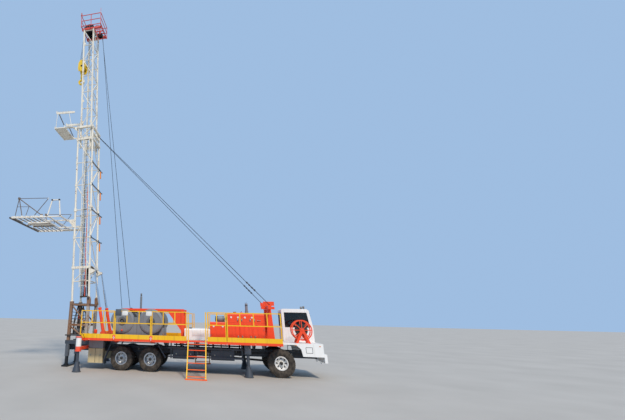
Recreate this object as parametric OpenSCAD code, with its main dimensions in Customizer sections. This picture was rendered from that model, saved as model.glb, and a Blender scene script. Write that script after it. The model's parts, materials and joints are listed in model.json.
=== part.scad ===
/* [Running gear] */
// Radius of a rear tyre
tyre_r = 560; // [540:5:575]
// Width of one rear tyre
tyre_w = 290; // [260:5:310]
// Distance between the two tyres of a twin wheel, centre to centre
twin_pitch = 340; // [325:5:360]
// Radius of a front tyre
front_tyre_r = 615; // [590:5:630]
// Width of a front tyre
front_tyre_w = 370; // [320:10:385]
// Radius of the rim's bead seat
rim_r = 285; // [270:5:300]
// Width over the outer tyre walls
tyre_span = 2500; // [2450:10:2600]
// Distance between the two rear axles
axle_gap = 1450; // [1350:10:1600]
// Distance from the rearmost axle to the front axle
wheelbase = 7600; // [7400:50:7700]
// Distance of a kingpin from the centre line
kingpin_y = 800; // [760:10:820]
// Radius of the wheel spindles
spindle_r = 50; // [40:5:60]

/* [Chassis and deck] */
// Length of the chassis behind the rearmost axle
rail_rear = 3250; // [3200:10:3400]
// Front end of the chassis, ahead of the rearmost axle
rail_front = 9350; // [9300:10:9450]
// Height of the chassis rails' top
rail_top = 1100; // [1060:10:1140]
// Height of a chassis rail
rail_h = 300; // [240:10:310]
// Width of a chassis rail's flange
rail_w = 80; // [60:5:100]
// Plate thickness of a chassis rail
rail_t = 14; // [8:1:18]
// Distance of a rail's centre from the centre line
rail_y = 390; // [360:10:420]
// Height of the deck's top
deck_z = 1500; // [1460:10:1540]
// Thickness of the deck plate
deck_t = 50; // [30:5:60]
// Rear end of the deck, behind the rearmost axle
deck_rear = 1980; // [1900:10:2040]
// Front end of the working deck
deck_front = 7630; // [7600:10:7700]
// Half the width of the deck
deck_half = 1250; // [1230:5:1280]
// Width of a folded-out side walkway
walk_w = 700; // [600:10:800]
// Depth of a walkway's edge beam
walk_edge_h = 110; // [80:10:140]
// Front end of the front body
nose_x = 9480; // [9470:10:9560]
// Depth of the bumper ahead of the front body
bumper_d = 120; // [110:10:160]
// Radius of a towing eye's bore
tow_r = 22; // [18:1:26]
// Thickness of a towing eye
tow_t = 30; // [20:2:40]

/* [Handrails and ladders] */
// Height of the top rail above the deck
rail_height = 1300; // [1100:20:1400]
// Height of the middle rail above the deck
mid_height = 740; // [600:20:800]
// Height of the toe board
toe_h = 200; // [150:10:240]
// Side of a handrail's square tube
tube = 42; // [30:2:50]
// Distance that a ladder's foot stands out from the walkway
ladder_out = 1030; // [800:10:1200]
// Number of rungs on a ladder
rungs = 6; // [4:1:8]

/* [Drawworks] */
// Place of the main drum's shaft ahead of the rearmost axle
drum_x = -110; // [-140:10:-60]
// Distance between the shafts of the main and the sand drum
drum_gap = 1510; // [1460:10:1560]
// Height of both drum shafts
drum_z = 2310; // [2280:10:2330]
// Radius of the round drum covers
cover_r = 620; // [580:10:640]
// Radius of a drum's flanges
flange_r = 520; // [460:10:540]
// Radius of a drum's rope barrel
barrel_r = 260; // [200:10:300]
// Radius of a drum's shaft
shaft_r = 60; // [50:5:70]
// Height of the red beam over the drawworks
beam_z = 2850; // [2840:10:2900]

/* [Mast] */
// Place of the mast's foot pin ahead of the rearmost axle
pivot_x = -2150; // [-2200:10:-2120]
// Height of the mast's foot pin
pivot_z = 3450; // [3420:10:3500]
// Lean of the raised mast to the rear, in degrees
lean = 3.5; // [2.5:0.1:4.5]
// Length of the lower section above the foot pin
lower_len = 10850; // [10600:50:11000]
// Depth of the lower section between leg centres
lower_d = 970; // [940:10:1000]
// Half the width of the lower section at its leg centres
lower_half = 620; // [610:5:640]
// Radius of a lower leg
lower_leg_r = 57; // [45:1:60]
// Half the width of the upper section at its leg centres
upper_half = 500; // [480:5:505]
// Depth of the upper section between leg centres
upper_d = 690; // [660:10:700]
// Side of an upper leg's square tube
upper_leg = 90; // [70:5:95]
// Length of the upper section that stays inside the lower one
nested = 1500; // [1200:50:1700]
// Length of the upper section that stands above the lower one
upper_out = 8100; // [8000:50:8200]
// Radius of the lattice braces
brace_r = 30; // [20:2:34]
// Radius of the foot pins
pin_r = 40; // [30:2:45]
// Radius of a guy line lug's bore
guy_r = 16; // [12:1:20]
// Thickness of a guy line lug
guy_t = 20; // [14:1:30]
// Radius of the crown sheaves
sheave_r = 380; // [340:10:390]

/* [Boards] */
// Height of the tubing board's floor
board_z = 7910; // [7800:10:8000]
// Half the width of the tubing board
board_half = 1670; // [1600:10:1700]
// Distance of the tubing board's outer edge behind the rearmost axle
board_rear = 7000; // [6900:10:7050]
// Distance of the upper board's floor below the lower section's top
rod_board_drop = 20; // [0:5:50]
// Half the width of the upper board
rod_board_half = 776; // [770:2:800]
// Length of the upper board behind its hinge
rod_board_len = 1280; // [1200:10:1320]

/* [Travelling block] */
// Height of the block's lowest point
block_z = 17970; // [17900:10:18100]
// Height of the block with its hook
block_h = 1970; // [1900:10:2000]
// Distance of the hoist line behind the rearmost axle
line_x = -4195; // [-4210:5:-4180]
// Half the width of the block
block_half = 230; // [200:5:240]

/* [Raising cylinders] */
// Place of a cylinder's base pin ahead of the rearmost axle
ram_x = -1200; // [-1230:10:-1180]
// Height of a cylinder's base pin
ram_z = 1650; // [1640:5:1680]
// Distance of a cylinder from the centre line
ram_y = 600; // [590:5:610]
// Radius of a cylinder's barrel
ram_r = 85; // [75:5:88]
// Length of the barrel from its pin to its gland
ram_len = 1350; // [1300:10:1360]
// Place of the rod's eye ahead of the foot pin
eye_x = 200; // [190:5:220]
// Height of the rod's eye above the foot pin
eye_z = 1500; // [1480:10:1520]

/* [Cab] */
// Rear wall of the cab
cab_x = 7990; // [7900:10:8020]
// Right wall of the cab, left of the centre line
cab_right = 150; // [120:10:200]
// Height of the cab's roof
cab_top = 3080; // [3020:10:3100]
// Height of the windows' lower edge
sill_z = 2150; // [2100:10:2200]
// Thickness of the cab's walls and doors
wall = 45; // [35:5:50]

/* [Jacks] */
// Place of the rear jacks ahead of the rearmost axle
rear_jack_x = -1850; // [-1880:10:-1800]
// Distance of a rear jack from the centre line
rear_jack_y = 2300; // [2200:10:2350]
// Place of the front jacks ahead of the rearmost axle
front_jack_x = 6100; // [6080:10:6150]
// Distance of a front jack from the centre line
front_jack_y = 1480; // [1450:10:1520]
// Radius of a jack's inner leg
jack_r = 70; // [55:5:75]

/* [Hidden] */

$fn = 48;
// Running clearance round a pin or shaft
fit = 0.05;
// Gap between a piece at rest and its seat
seat = 0.3;
// Gap between pieces that move past each other
clear = 8;
// The object's middle, between the tubing board's end and the bumper
nose_end = nose_x + bumper_d;
mid_x = (nose_end - board_rear) / 2;
walk_y = deck_half + walk_w;
// Walkway panels as [rear end, front end] pairs, with the ladder bay left open between the third and the fourth
bay = [3330, 4270];
panels = [[-deck_rear, -220], [-220, 1610], [1610, bay[0]], [bay[1], 5170], [5170, deck_front]];
// Level frames: shares of the lower section's length above the foot pin, and heights above the upper section's foot
level_shares = [0.0876, 0.1613, 0.318, 0.4747, 0.6221, 0.7604, 0.9078, 0.9945];
lower_levels = [for (share = level_shares) share * lower_len];
upper_levels = [for (i = [0 : 7]) 300 + i * (nested + upper_out - 400) / 7];
upper_foot = lower_len - nested;
crown_w = lower_len + upper_out;

module both_sides() {
    children();
    mirror([0, 1, 0]) children();
}

module block(low, high) {
    translate(low) cube(high - low);
}

module upright(at, r, h) {
    translate(at) cylinder(r = r, h = h);
}

module crossbar(at, r, l) {
    translate(at) rotate([90, 0, 0]) cylinder(r = r, h = l, center = true);
}

module strut(p, q, r, sides = 8) {
    d = q - p;
    l = norm(d);
    translate(p) rotate([0, acos(d[2] / l), atan2(d[1], d[0])]) cylinder(r = r, h = l, $fn = sides);
}

// A side profile of [x, z] points, as a plate from y0 to y1
module plate(points, y0, y1) {
    translate([0, y1, 0]) rotate([90, 0, 0]) linear_extrude(y1 - y0) polygon(points);
}

// A front profile of [y, z] points, as a plate from x0 to x1
module rib(points, x0, x1) {
    translate([x0, 0, 0]) rotate([90, 0, 90]) linear_extrude(x1 - x0) polygon(points);
}

module placed() {
    translate([-mid_x, 0, 0]) children();
}

// The raised mast's own frame: forward, left, and up along its legs, from the foot pin
module on_mast() {
    translate([pivot_x, 0, pivot_z]) rotate([0, -lean, 0]) children();
}

function mast_point(u, y, w) = [pivot_x + u * cos(lean) - w * sin(lean), y, pivot_z + u * sin(lean) + w * cos(lean)];

// Place along x of a line up the mast at depth u, where it passes height z
function leg_x(u, z) = pivot_x + u * cos(lean) - (z - pivot_z - u * sin(lean)) * tan(lean);

/* Chassis */

frame_ribs = [-1900, -750, 2100, 2900, 3700, 4500, 5300, 6500, 7000];

module chassis_frame() {
    color("#3b424d") placed() {
        both_sides() rib_channel();
        for (x = [-2600, -600, 725, 2400, 4200, 6000, 7000, 9200])
            block([x - 60, -rail_y, rail_top - rail_h + 60], [x + 60, rail_y, rail_top - 60]);
        for (x = frame_ribs)
            rib([[-1000, deck_z - deck_t], [1000, deck_z - deck_t], [1000, deck_z - deck_t - 70],
                [rail_y + rail_w / 2, rail_top], [-rail_y - rail_w / 2, rail_top], [-1000, deck_z - deck_t - 70]],
                x - 35, x + 35);
        both_sides() block([-rail_rear, rail_y - rail_w / 2, rail_top], [pivot_x + 250, lower_half + 100, rail_top + 180]);
    }
}

module rib_channel() {
    difference() {
        block([-rail_rear, rail_y - rail_w / 2, rail_top - rail_h], [rail_front, rail_y + rail_w / 2, rail_top]);
        block([-rail_rear - 1, rail_y - rail_w / 2 + rail_t, rail_top - rail_h + rail_t],
            [rail_front + 1, rail_y + rail_w, rail_top - rail_t]);
    }
}

/* Axles */

spring_h = 60;
// Transfer case between the rails, and the propeller shafts from it
case_x = [2950, 3420];
case_z = 830;
case_bar = rail_y - rail_w / 2 - seat;
shaft_tube_r = 48;
shaft_rise = 60;

module rear_axles() {
    color("#2c2f33") placed() {
        for (x = [0, axle_gap]) {
            crossbar([x, 0, tyre_r], 90, 1120);
            crossbar([x, 0, tyre_r], spindle_r, tyre_span - 260);
            translate([x, 0, tyre_r]) sphere(r = 225);
        }
        both_sides() {
            plate([[-160, tyre_r + 60], [axle_gap / 2, rail_top - rail_h - spring_h], [axle_gap + 160, tyre_r + 60],
                [axle_gap + 160, tyre_r + 60 + spring_h], [axle_gap / 2, rail_top - rail_h], [-160, tyre_r + 60 + spring_h]],
                rail_y - rail_w / 2, rail_y + rail_w / 2);
            plate([[axle_gap / 2 - 200, rail_top - rail_h], [axle_gap / 2 - 80, tyre_r - 60], [axle_gap / 2 + 80, tyre_r - 60],
                [axle_gap / 2 + 200, rail_top - rail_h]], rail_y - rail_w / 2 - 30, rail_y + rail_w / 2 + 30);
        }
        crossbar([axle_gap / 2, 0, tyre_r], 60, 2 * rail_y);
        block([case_x[0], -170, case_z - 190], [case_x[1], 170, case_z + 150]);
        block([case_x[0] + 100, -case_bar, case_z + 60], [case_x[1] - 100, case_bar, case_z + 130]);
        strut([axle_gap, 0, tyre_r + shaft_rise], [case_x[0] + 20, 0, case_z], shaft_tube_r, 16);
        strut([0, 0, tyre_r + shaft_rise], [axle_gap, 0, tyre_r + shaft_rise], shaft_tube_r, 16);
        strut([case_x[1] - 20, 0, case_z - 60], [wheelbase - 60, 0, front_tyre_r - 45], shaft_tube_r, 16);
    }
}

kingpin_r = 35;
eye_r = 75;
eye_h = 150;

module front_axle() {
    color("#2c2f33") placed() {
        difference() {
            union() {
                rib([[-kingpin_y, front_tyre_r - 60], [-500, front_tyre_r - 60], [-380, front_tyre_r - 110], [380, front_tyre_r - 110],
                    [500, front_tyre_r - 60], [kingpin_y, front_tyre_r - 60], [kingpin_y, front_tyre_r + 60],
                    [500, front_tyre_r + 60], [380, front_tyre_r + 20], [-380, front_tyre_r + 20], [-500, front_tyre_r + 60],
                    [-kingpin_y, front_tyre_r + 60]], wheelbase - 55, wheelbase + 55);
                both_sides() upright([wheelbase, kingpin_y, front_tyre_r - eye_h / 2], eye_r, eye_h);
            }
            both_sides() upright([wheelbase, kingpin_y, front_tyre_r - eye_h], kingpin_r + fit, 2 * eye_h);
        }
        both_sides() plate([[wheelbase - 700, rail_top - rail_h], [wheelbase - 640, rail_top - rail_h], [wheelbase - 560, 715],
            [wheelbase, front_tyre_r + 20 + spring_h], [wheelbase + 560, 715], [wheelbase + 640, rail_top - rail_h],
            [wheelbase + 700, rail_top - rail_h], [wheelbase + 600, 660], [wheelbase, front_tyre_r + 20], [wheelbase - 600, 660]],
            rail_y - rail_w / 2, rail_y + rail_w / 2);
    }
}

fork_gap = 10;
fork_t = 45;

module knuckle(side) {
    z0 = front_tyre_r - eye_h / 2 - fork_gap;
    z1 = front_tyre_r + eye_h / 2 + fork_gap;
    web_y = kingpin_y + eye_r + fork_gap;
    color("#3a3d42") placed() translate([wheelbase, 0, 0]) mirror([0, side < 0 ? 1 : 0, 0]) {
        upright([0, kingpin_y, z0 - fork_t], kingpin_r, z1 - z0 + 2 * fork_t);
        for (z = [z0 - fork_t, z1]) {
            upright([0, kingpin_y, z], eye_r, fork_t);
            block([-eye_r, kingpin_y, z], [eye_r, web_y + 30, z + fork_t]);
        }
        block([-eye_r, web_y, z0 - fork_t], [eye_r, web_y + 30, z1 + fork_t]);
        translate([0, (web_y + tyre_span / 2 - 110) / 2, front_tyre_r]) rotate([90, 0, 0])
            cylinder(r = spindle_r, h = tyre_span / 2 - 110 - web_y, center = true);
    }
}

module knuckle_left() knuckle(1);
module knuckle_right() knuckle(-1);

/* Wheels, modelled about +Z with the outer face up */

// Tyre section: half of it as [share of the half width, share of the height from bead to tread]
tyre_half = [[0.62, 0], [0.86, 0.2], [1, 0.52], [0.93, 0.82], [0.78, 0.95], [0.4, 1]];

module tyre(r, w) {
    section = [for (p = tyre_half) [rim_r + p[1] * (r - rim_r), p[0] * w / 2]];
    rotate_extrude() polygon(concat(section, [for (i = [len(section) - 1 : -1 : 0]) [section[i][0], -section[i][1]]]));
}

module at_wheel(x, side, y, z) {
    placed() translate([x, 0, z]) mirror([0, side < 0 ? 1 : 0, 0]) translate([0, y, 0]) rotate([-90, 0, 0]) children();
}

front_wheel_y = tyre_span / 2 - front_tyre_w / 2;
twin_y = tyre_span / 2 - tyre_w / 2 - twin_pitch / 2;
rim_t = 22;
lip_w = 32;
lip_h = 18;
hub_r = 120;
hand_hole_r = 36;
hand_holes = 8;

// A rim's barrel: inside radius, with lips at both ends
module rim_barrel(w) {
    rotate_extrude() polygon([[rim_r - rim_t, -w / 2], [rim_r + lip_h, -w / 2], [rim_r + lip_h, -w / 2 + lip_w / 2], [rim_r - seat, -w / 2 + lip_w - 2],
        [rim_r - seat, w / 2 - lip_w + 2], [rim_r + lip_h, w / 2 - lip_w / 2], [rim_r + lip_h, w / 2], [rim_r - rim_t, w / 2]]);
}

module disc(z, r_in, r_out) {
    difference() {
        rotate_extrude() polygon([[r_in, z - 10], [r_out * 0.72, z - 10], [r_out, z + 22], [r_out, z + 40], [r_out * 0.7, z + 12], [r_in, z + 12]]);
        for (i = [0 : hand_holes - 1]) rotate([0, 0, i * 360 / hand_holes]) translate([r_out * 0.76, 0, z - 60])
            cylinder(r = hand_hole_r, h = 140);
    }
}

module twin_rims() {
    rim_w = tyre_w * tyre_half[0][0] + 2 * lip_w;
    difference() {
        union() {
            for (z = [-twin_pitch / 2, twin_pitch / 2]) translate([0, 0, z]) rim_barrel(rim_w);
            disc(-twin_pitch / 2 + rim_w / 2 - 50, hub_r - 5, rim_r - rim_t / 2);
            mirror([0, 0, 1]) disc(-twin_pitch / 2 + rim_w / 2 - 50, hub_r - 5, rim_r - rim_t / 2);
            translate([0, 0, -200]) cylinder(r = hub_r, h = 400);
            translate([0, 0, 200]) cylinder(r1 = 85, r2 = 70, h = 70);
        }
        translate([0, 0, -250]) cylinder(r = spindle_r + fit, h = 250 + tyre_span / 2 - twin_y - 128);
    }
}

module front_rim() {
    rim_w = front_tyre_w * tyre_half[0][0] + 2 * lip_w;
    difference() {
        union() {
            rim_barrel(rim_w);
            disc(rim_w / 2 - 110, hub_r - 5, rim_r - rim_t / 2);
            translate([0, 0, -150]) cylinder(r = hub_r, h = 200);
            translate([0, 0, 50]) cylinder(r1 = 90, r2 = 75, h = 60);
        }
        translate([0, 0, -160]) cylinder(r = spindle_r + fit, h = 160 + tyre_span / 2 - front_wheel_y - 108);
    }
}

module front_tyre(side) {
    color("#23201d") at_wheel(wheelbase, side, front_wheel_y, front_tyre_r) tyre(front_tyre_r, front_tyre_w);
}

module twin_tyres(x, side) {
    color("#23201d") at_wheel(x, side, twin_y, tyre_r)
        for (z = [-twin_pitch / 2, twin_pitch / 2]) translate([0, 0, z]) tyre(tyre_r, tyre_w);
}

module front_tyre_left() front_tyre(1);
module front_tyre_right() front_tyre(-1);
module front_rim_left() { color("white") at_wheel(wheelbase, 1, front_wheel_y, front_tyre_r) front_rim(); }
module front_rim_right() { color("white") at_wheel(wheelbase, -1, front_wheel_y, front_tyre_r) front_rim(); }
module rear_tyres_left() twin_tyres(0, 1);
module rear_tyres_right() twin_tyres(0, -1);
module mid_tyres_left() twin_tyres(axle_gap, 1);
module mid_tyres_right() twin_tyres(axle_gap, -1);
module rear_rims_left() { color("silver") at_wheel(0, 1, twin_y, tyre_r) twin_rims(); }
module rear_rims_right() { color("silver") at_wheel(0, -1, twin_y, tyre_r) twin_rims(); }
module mid_rims_left() { color("silver") at_wheel(axle_gap, 1, twin_y, tyre_r) twin_rims(); }
module mid_rims_right() { color("silver") at_wheel(axle_gap, -1, twin_y, tyre_r) twin_rims(); }

/* Under the deck */

guard_y = [1015, deck_half - 5];
guard_t = 30;
flap_z = 250;

module mudguards() {
    rear = [[-880, 440], [-520, 1290], [1800, 1290], [2200, 650]];
    color("#4a5563") placed() both_sides() {
        plate([rear[0], rear[1], rear[2], rear[3], rear[3] + [guard_t, 20], rear[2] + [guard_t / 2, guard_t],
            rear[1] + [-guard_t / 2, guard_t], rear[0] + [-guard_t, 0]], guard_y[0], guard_y[1]);
        for (x = [-300, 1500]) block([x - 30, guard_y[0], 1290 + guard_t], [x + 30, guard_y[0] + 60, deck_z - deck_t]);
        block([rear[0][0] - guard_t, guard_y[0] - 250, flap_z], [rear[0][0] - guard_t + 14, guard_y[1], rear[0][1] + 60]);
    }
}

guard_x = [2330, front_jack_x - 170];
guard_posts = [2480, 3700, 4900, guard_x[1] - 70];
air_tank_r = 115;
guard_rail_y = 1200;
// Boxes hung on the chassis rails, as [rear end, front end]
low_boxes = [[2550, 3600], [4400, 5500]];
tool_box = [-1720, -960];

module side_boxes() {
    color("#3d4650") placed() both_sides() {
        for (z = [700, 1090]) block([guard_x[0], guard_rail_y - 20, z], [guard_x[1], guard_rail_y + 20, z + 70]);
        for (x = guard_posts) block([x - 30, guard_rail_y - 60, 640], [x + 30, guard_rail_y - 20, deck_z - deck_t]);
        for (b = low_boxes) {
            block([b[0], 700, 630], [b[1], 1120, 1060]);
            block([b[0] + 150, rail_y - rail_w / 2 + rail_t, 880], [b[1] - 150, 700, 960]);
        }
        translate([low_boxes[0][1] - 20, 940, 900]) rotate([0, 90, 0])
            cylinder(r = air_tank_r, h = low_boxes[1][0] - low_boxes[0][1] + 40);
        block([tool_box[0], 900, 300], [tool_box[1], deck_half - 5, deck_z - deck_t]);
    }
}

/* Front body and cab */

arch = [6560, 8570];
arch_z = 1430;
skirt_z = 940;
panel_t = 60;
tow_eye = [9540, 400, 650];
head_lamp_r = 68;
grille_half = 620;
cab_steps = [960, 1240];

module front_body() {
    side = [[arch[0], deck_z - deck_t], [arch[0], arch_z - 60], [arch[0] + 60, arch_z], [arch[1] - 260, arch_z], [arch[1] - 60, arch_z - 180],
        [arch[1], skirt_z], [nose_x, skirt_z], [nose_x, deck_z], [deck_front, deck_z], [deck_front, deck_z - deck_t]];
    color("#eceef0") placed() {
        both_sides() plate(side, deck_half - panel_t, deck_half);
        block([nose_x - panel_t, -deck_half, skirt_z], [nose_x, deck_half, deck_z]);
        block([deck_front, -deck_half, deck_z - deck_t], [nose_x, deck_half, deck_z]);
        block([rail_front - 200, -rail_y - rail_w / 2, rail_top], [rail_front, rail_y + rail_w / 2, deck_z - deck_t]);
        difference() {
            block([nose_x, -deck_half, 700], [nose_end, deck_half, 1060]);
            for (y = [-850, 850]) block([nose_x + 60, y - 170, 800], [nose_end + 1, y + 170, 960]);
        }
        for (y = [-850, 850]) for (o = [-80, 80]) translate([nose_x + 55, y + o, 880]) rotate([0, 90, 0])
            cylinder(r = head_lamp_r, h = 45);
        for (i = [0 : 5]) block([nose_x - 1, -grille_half, 1130 + i * 55], [nose_x + 18, grille_half, 1155 + i * 55]);
        both_sides() block([nose_x - 1, grille_half, 1110], [nose_x + 25, grille_half + 30, 1450]);
        for (z = cab_steps) block([door[0] + 150, deck_half - panel_t, z], [door[1] - 150, deck_half + 90, z + 30]);
        for (x = [door[0] + 150, door[1] - 180]) block([x, deck_half - 10, cab_steps[0]], [x + 30, deck_half + 30, cab_steps[1] + 60]);
        both_sides() difference() {
            block([tow_eye[0] - 45, tow_eye[1] - tow_t / 2, tow_eye[2] - 50], [tow_eye[0] + 45, tow_eye[1] + tow_t / 2, 700]);
            crossbar(tow_eye, tow_r, 200);
        }
    }
}

cab_front = [[nose_x - 10, deck_z], [nose_x - 10, sill_z], [nose_x - 150, cab_top - 80], [nose_x - 250, cab_top]];

function cab_side(g) = [[cab_x + g, deck_z + g], [cab_x + g, cab_top - 60 - g], [cab_x + 60 + g, cab_top - g],
    [cab_front[3][0] - g, cab_front[3][1] - g], [cab_front[2][0] - g, cab_front[2][1] - g],
    [cab_front[1][0] - g, sill_z], [cab_front[0][0] - g, deck_z + g]];

door = [8180, 9060];
door_z = [deck_z + 60, cab_top - 150];
window_t = 12;

// A side window's outline, kept inside the door or the side wall by its border
function side_window(x0, x1, z0, z1, slope) = [[x0, z0], [x1, z0], [x1 - slope, z1], [x0, z1]];

module cab_cut_windows(grow) {
    g = grow;
    block([nose_x - 400, cab_right + 110 - g, sill_z + 70 - g], [nose_x + 50, deck_half - 110 + g, cab_top - 170 + g]);
    block([cab_x - 50, cab_right + 150 - g, sill_z + 90 - g], [cab_x + wall + 50, deck_half - 150 + g, cab_top - 200 + g]);
    plate(side_window(cab_x + 130 - g, nose_x - 160 + g, sill_z + 40 - g, cab_top - 180 + g, 110), cab_right - 20, cab_right + wall + 20);
}

module cab_shell() {
    color("#f2f3f4") placed() difference() {
        plate(cab_side(0), cab_right, deck_half);
        plate(cab_side(wall), cab_right + wall, deck_half - wall);
        cab_cut_windows(0);
        block([door[0], deck_half - wall - 10, door_z[0]], [door[1], deck_half + 10, door_z[1]]);
    }
    color("#f2f3f4") placed() for (z = hinge_pins) {
        upright([door[1], door_pin_y, z - 40], door_pin_r, 80);
        upright([door[1], door_pin_y, z - 40], 14, 38);
        block([door[1], deck_half, z - 40], [door[1] + 60, door_pin_y + 4, z - 2]);
    }
    color("#f2f3f4") placed() {
        for (y = [cab_right + 260, deck_half - 260]) roof_lamp(y);
        mirror_arm();
    }
}

roof_lamp_r = 62;
mirror_at = [9200, 1480, 2560];

module roof_lamp(y) {
    at = [cab_front[3][0] - 120, y, cab_top + roof_lamp_r + 25];
    block([at[0] + 20, y - 20, cab_top - 10], [at[0] + 60, y + 20, at[2] - roof_lamp_r + 15]);
    translate(at) rotate([0, 90, 0]) cylinder(r = roof_lamp_r, h = 80);
}

module mirror_arm() {
    for (z = [mirror_at[2] - 190, mirror_at[2] + 190])
        strut([mirror_at[0], deck_half - 20, z], [mirror_at[0], mirror_at[1], z], 14);
    block([mirror_at[0] - 25, mirror_at[1] - 15, mirror_at[2] - 230], [mirror_at[0] + 25, mirror_at[1] + 145, mirror_at[2] + 230]);
}

module cab_glass() {
    color([0.1, 0.13, 0.15, 0.5]) placed() intersection() {
        difference() {
            plate(cab_side(wall / 2 - window_t / 2), cab_right + wall / 2 - window_t / 2, deck_half - wall - 1);
            plate(cab_side(wall / 2 + window_t / 2), cab_right + wall / 2 + window_t / 2, deck_half);
        }
        cab_cut_windows(-seat);
    }
}

door_gap = 6;
hinge_pins = [1760, 2640];
door_pin_r = 8;
door_pin_y = deck_half + 16;
door_pane = [[door[0] + 90, sill_z + 20], [door[1] - 90, door_z[1] - 90]];

module cab_door() {
    color("#f2f3f4") placed() difference() {
        block([door[0] + door_gap, deck_half - wall, door_z[0] + door_gap], [door[1] - door_gap, deck_half, door_z[1] - door_gap]);
        block([door_pane[0][0], deck_half - wall - 1, door_pane[0][1]], [door_pane[1][0], deck_half + 1, door_pane[1][1]]);
    }
    color("#f2f3f4") placed() difference() {
        for (z = hinge_pins) {
            upright([door[1], door_pin_y, z], 14, 38);
            block([door[1] - 60, deck_half, z], [door[1], door_pin_y + 4, z + 38]);
        }
        for (z = hinge_pins) upright([door[1], door_pin_y, z - 60], door_pin_r + fit, 120);
    }
}

module cab_door_glass() {
    color([0.1, 0.13, 0.15, 0.5]) placed()
        block([door_pane[0][0] + seat, deck_half - wall / 2 - window_t / 2, door_pane[0][1] + seat],
            [door_pane[1][0] - seat, deck_half - wall / 2 + window_t / 2, door_pane[1][1] - seat]);
}

module cab_interior() {
    floor_z = deck_z + wall;
    seat_y = (cab_right + deck_half) / 2;
    color("#24272b") placed() {
        block([8280, seat_y - 250, floor_z], [8780, seat_y + 250, floor_z + 420]);
        plate([[8180, floor_z + 420], [8320, floor_z + 420], [8240, floor_z + 1100], [8120, floor_z + 1100]], seat_y - 230, seat_y + 230);
        block([8180, seat_y - 230, floor_z + 300], [8320, seat_y + 230, floor_z + 430]);
        plate([[9120, floor_z], [9400, floor_z], [9400, sill_z - 40], [9180, sill_z - 40]], cab_right + 60, deck_half - 60);
        strut([9200, seat_y, sill_z - 260], [9000, seat_y, sill_z + 20], 22);
        translate([9000, seat_y, sill_z + 20]) rotate([0, -35, 0]) rotate_extrude() translate([210, 0]) circle(r = 16);
        translate([9000, seat_y, sill_z + 20]) rotate([0, -35, 0]) for (a = [0, 120, 240]) rotate([0, 0, a])
            block([0, -14, -8], [210, 14, 8]);
    }
}

/* Deck, walkways and rails */

module deck() {
    color("#4b4f55") placed() block([-deck_rear, -deck_half, deck_z - deck_t], [deck_front, deck_half, deck_z]);
}

edge_t = 20;

module walkways() {
    color("#c8372d") placed() both_sides() {
        for (p = panels) {
            block([p[0] + 4, deck_half + seat, deck_z - deck_t], [p[1] - 4, walk_y - edge_t, deck_z]);
            block([p[0] + 4, walk_y - edge_t, deck_z - walk_edge_h], [p[1] - 4, walk_y, deck_z]);
            for (x = [p[0] + 60, p[1] - 60]) plate_bracket(x);
        }
        block([bay[0] - 4, deck_half + seat, deck_z - deck_t], [bay[1] + 4, walk_y, deck_z]);
    }
}

module plate_bracket(x) {
    rib([[deck_half + seat, deck_z - deck_t], [deck_half + seat, deck_z - deck_t - 180], [walk_y - edge_t, deck_z - deck_t - 30],
        [walk_y - edge_t, deck_z - deck_t]], x - 8, x + 8);
}

module handrails() {
    y0 = walk_y - tube;
    color("#f5c518") placed() both_sides() for (p = panels) {
        x0 = p[0] + 12;
        x1 = p[1] - 12;
        block([x0, walk_y - 16, deck_z + seat], [x1, walk_y, deck_z + toe_h]);
        for (z = [mid_height, rail_height]) block([x0, y0, deck_z + z - tube], [x1, walk_y, deck_z + z]);
        for (x = [x0, x1 - tube]) block([x, y0, deck_z + seat], [x + tube, walk_y, deck_z + rail_height]);
        bays = ceil((x1 - x0) / 650);
        for (i = [1 : bays - 1]) {
            x = x0 + i * (x1 - x0) / bays;
            block([x - tube / 2, y0, deck_z + mid_height - tube], [x + tube / 2, walk_y, deck_z + rail_height]);
        }
    }
}

stile_t = 46;
ladder_x = [bay[0] + 40, bay[1] - 40];

module ladders() {
    top = [walk_y + seat, deck_z - 60];
    foot = [walk_y + ladder_out, 0];
    color("#f5c518") placed() both_sides() {
        for (x = [ladder_x[0], ladder_x[1] - stile_t]) {
            rib([[foot[0] - 50, 0], [foot[0] + 10, 0], [top[0] + 70, deck_z + 40], [top[0] + 70, deck_z + rail_height],
                [top[0], deck_z + rail_height], [top[0], top[1]]], x, x + stile_t);
        }
        for (i = [0 : rungs - 1]) {
            t = (i + 0.5) / rungs;
            y = foot[0] - 20 + t * (top[0] + 35 - foot[0] + 20);
            block([ladder_x[0], y - 45, t * deck_z - 15], [ladder_x[1], y + 45, t * deck_z + 15]);
        }
        block([ladder_x[0] - 40, foot[0] - 60, 0], [ladder_x[1] + 40, foot[0] + 30, 50]);
    }
}

/* Drawworks */

cheek_y = 700;
cheek_t = 40;
drum_half = 420;
cover_y = [760, 1000];

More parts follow.
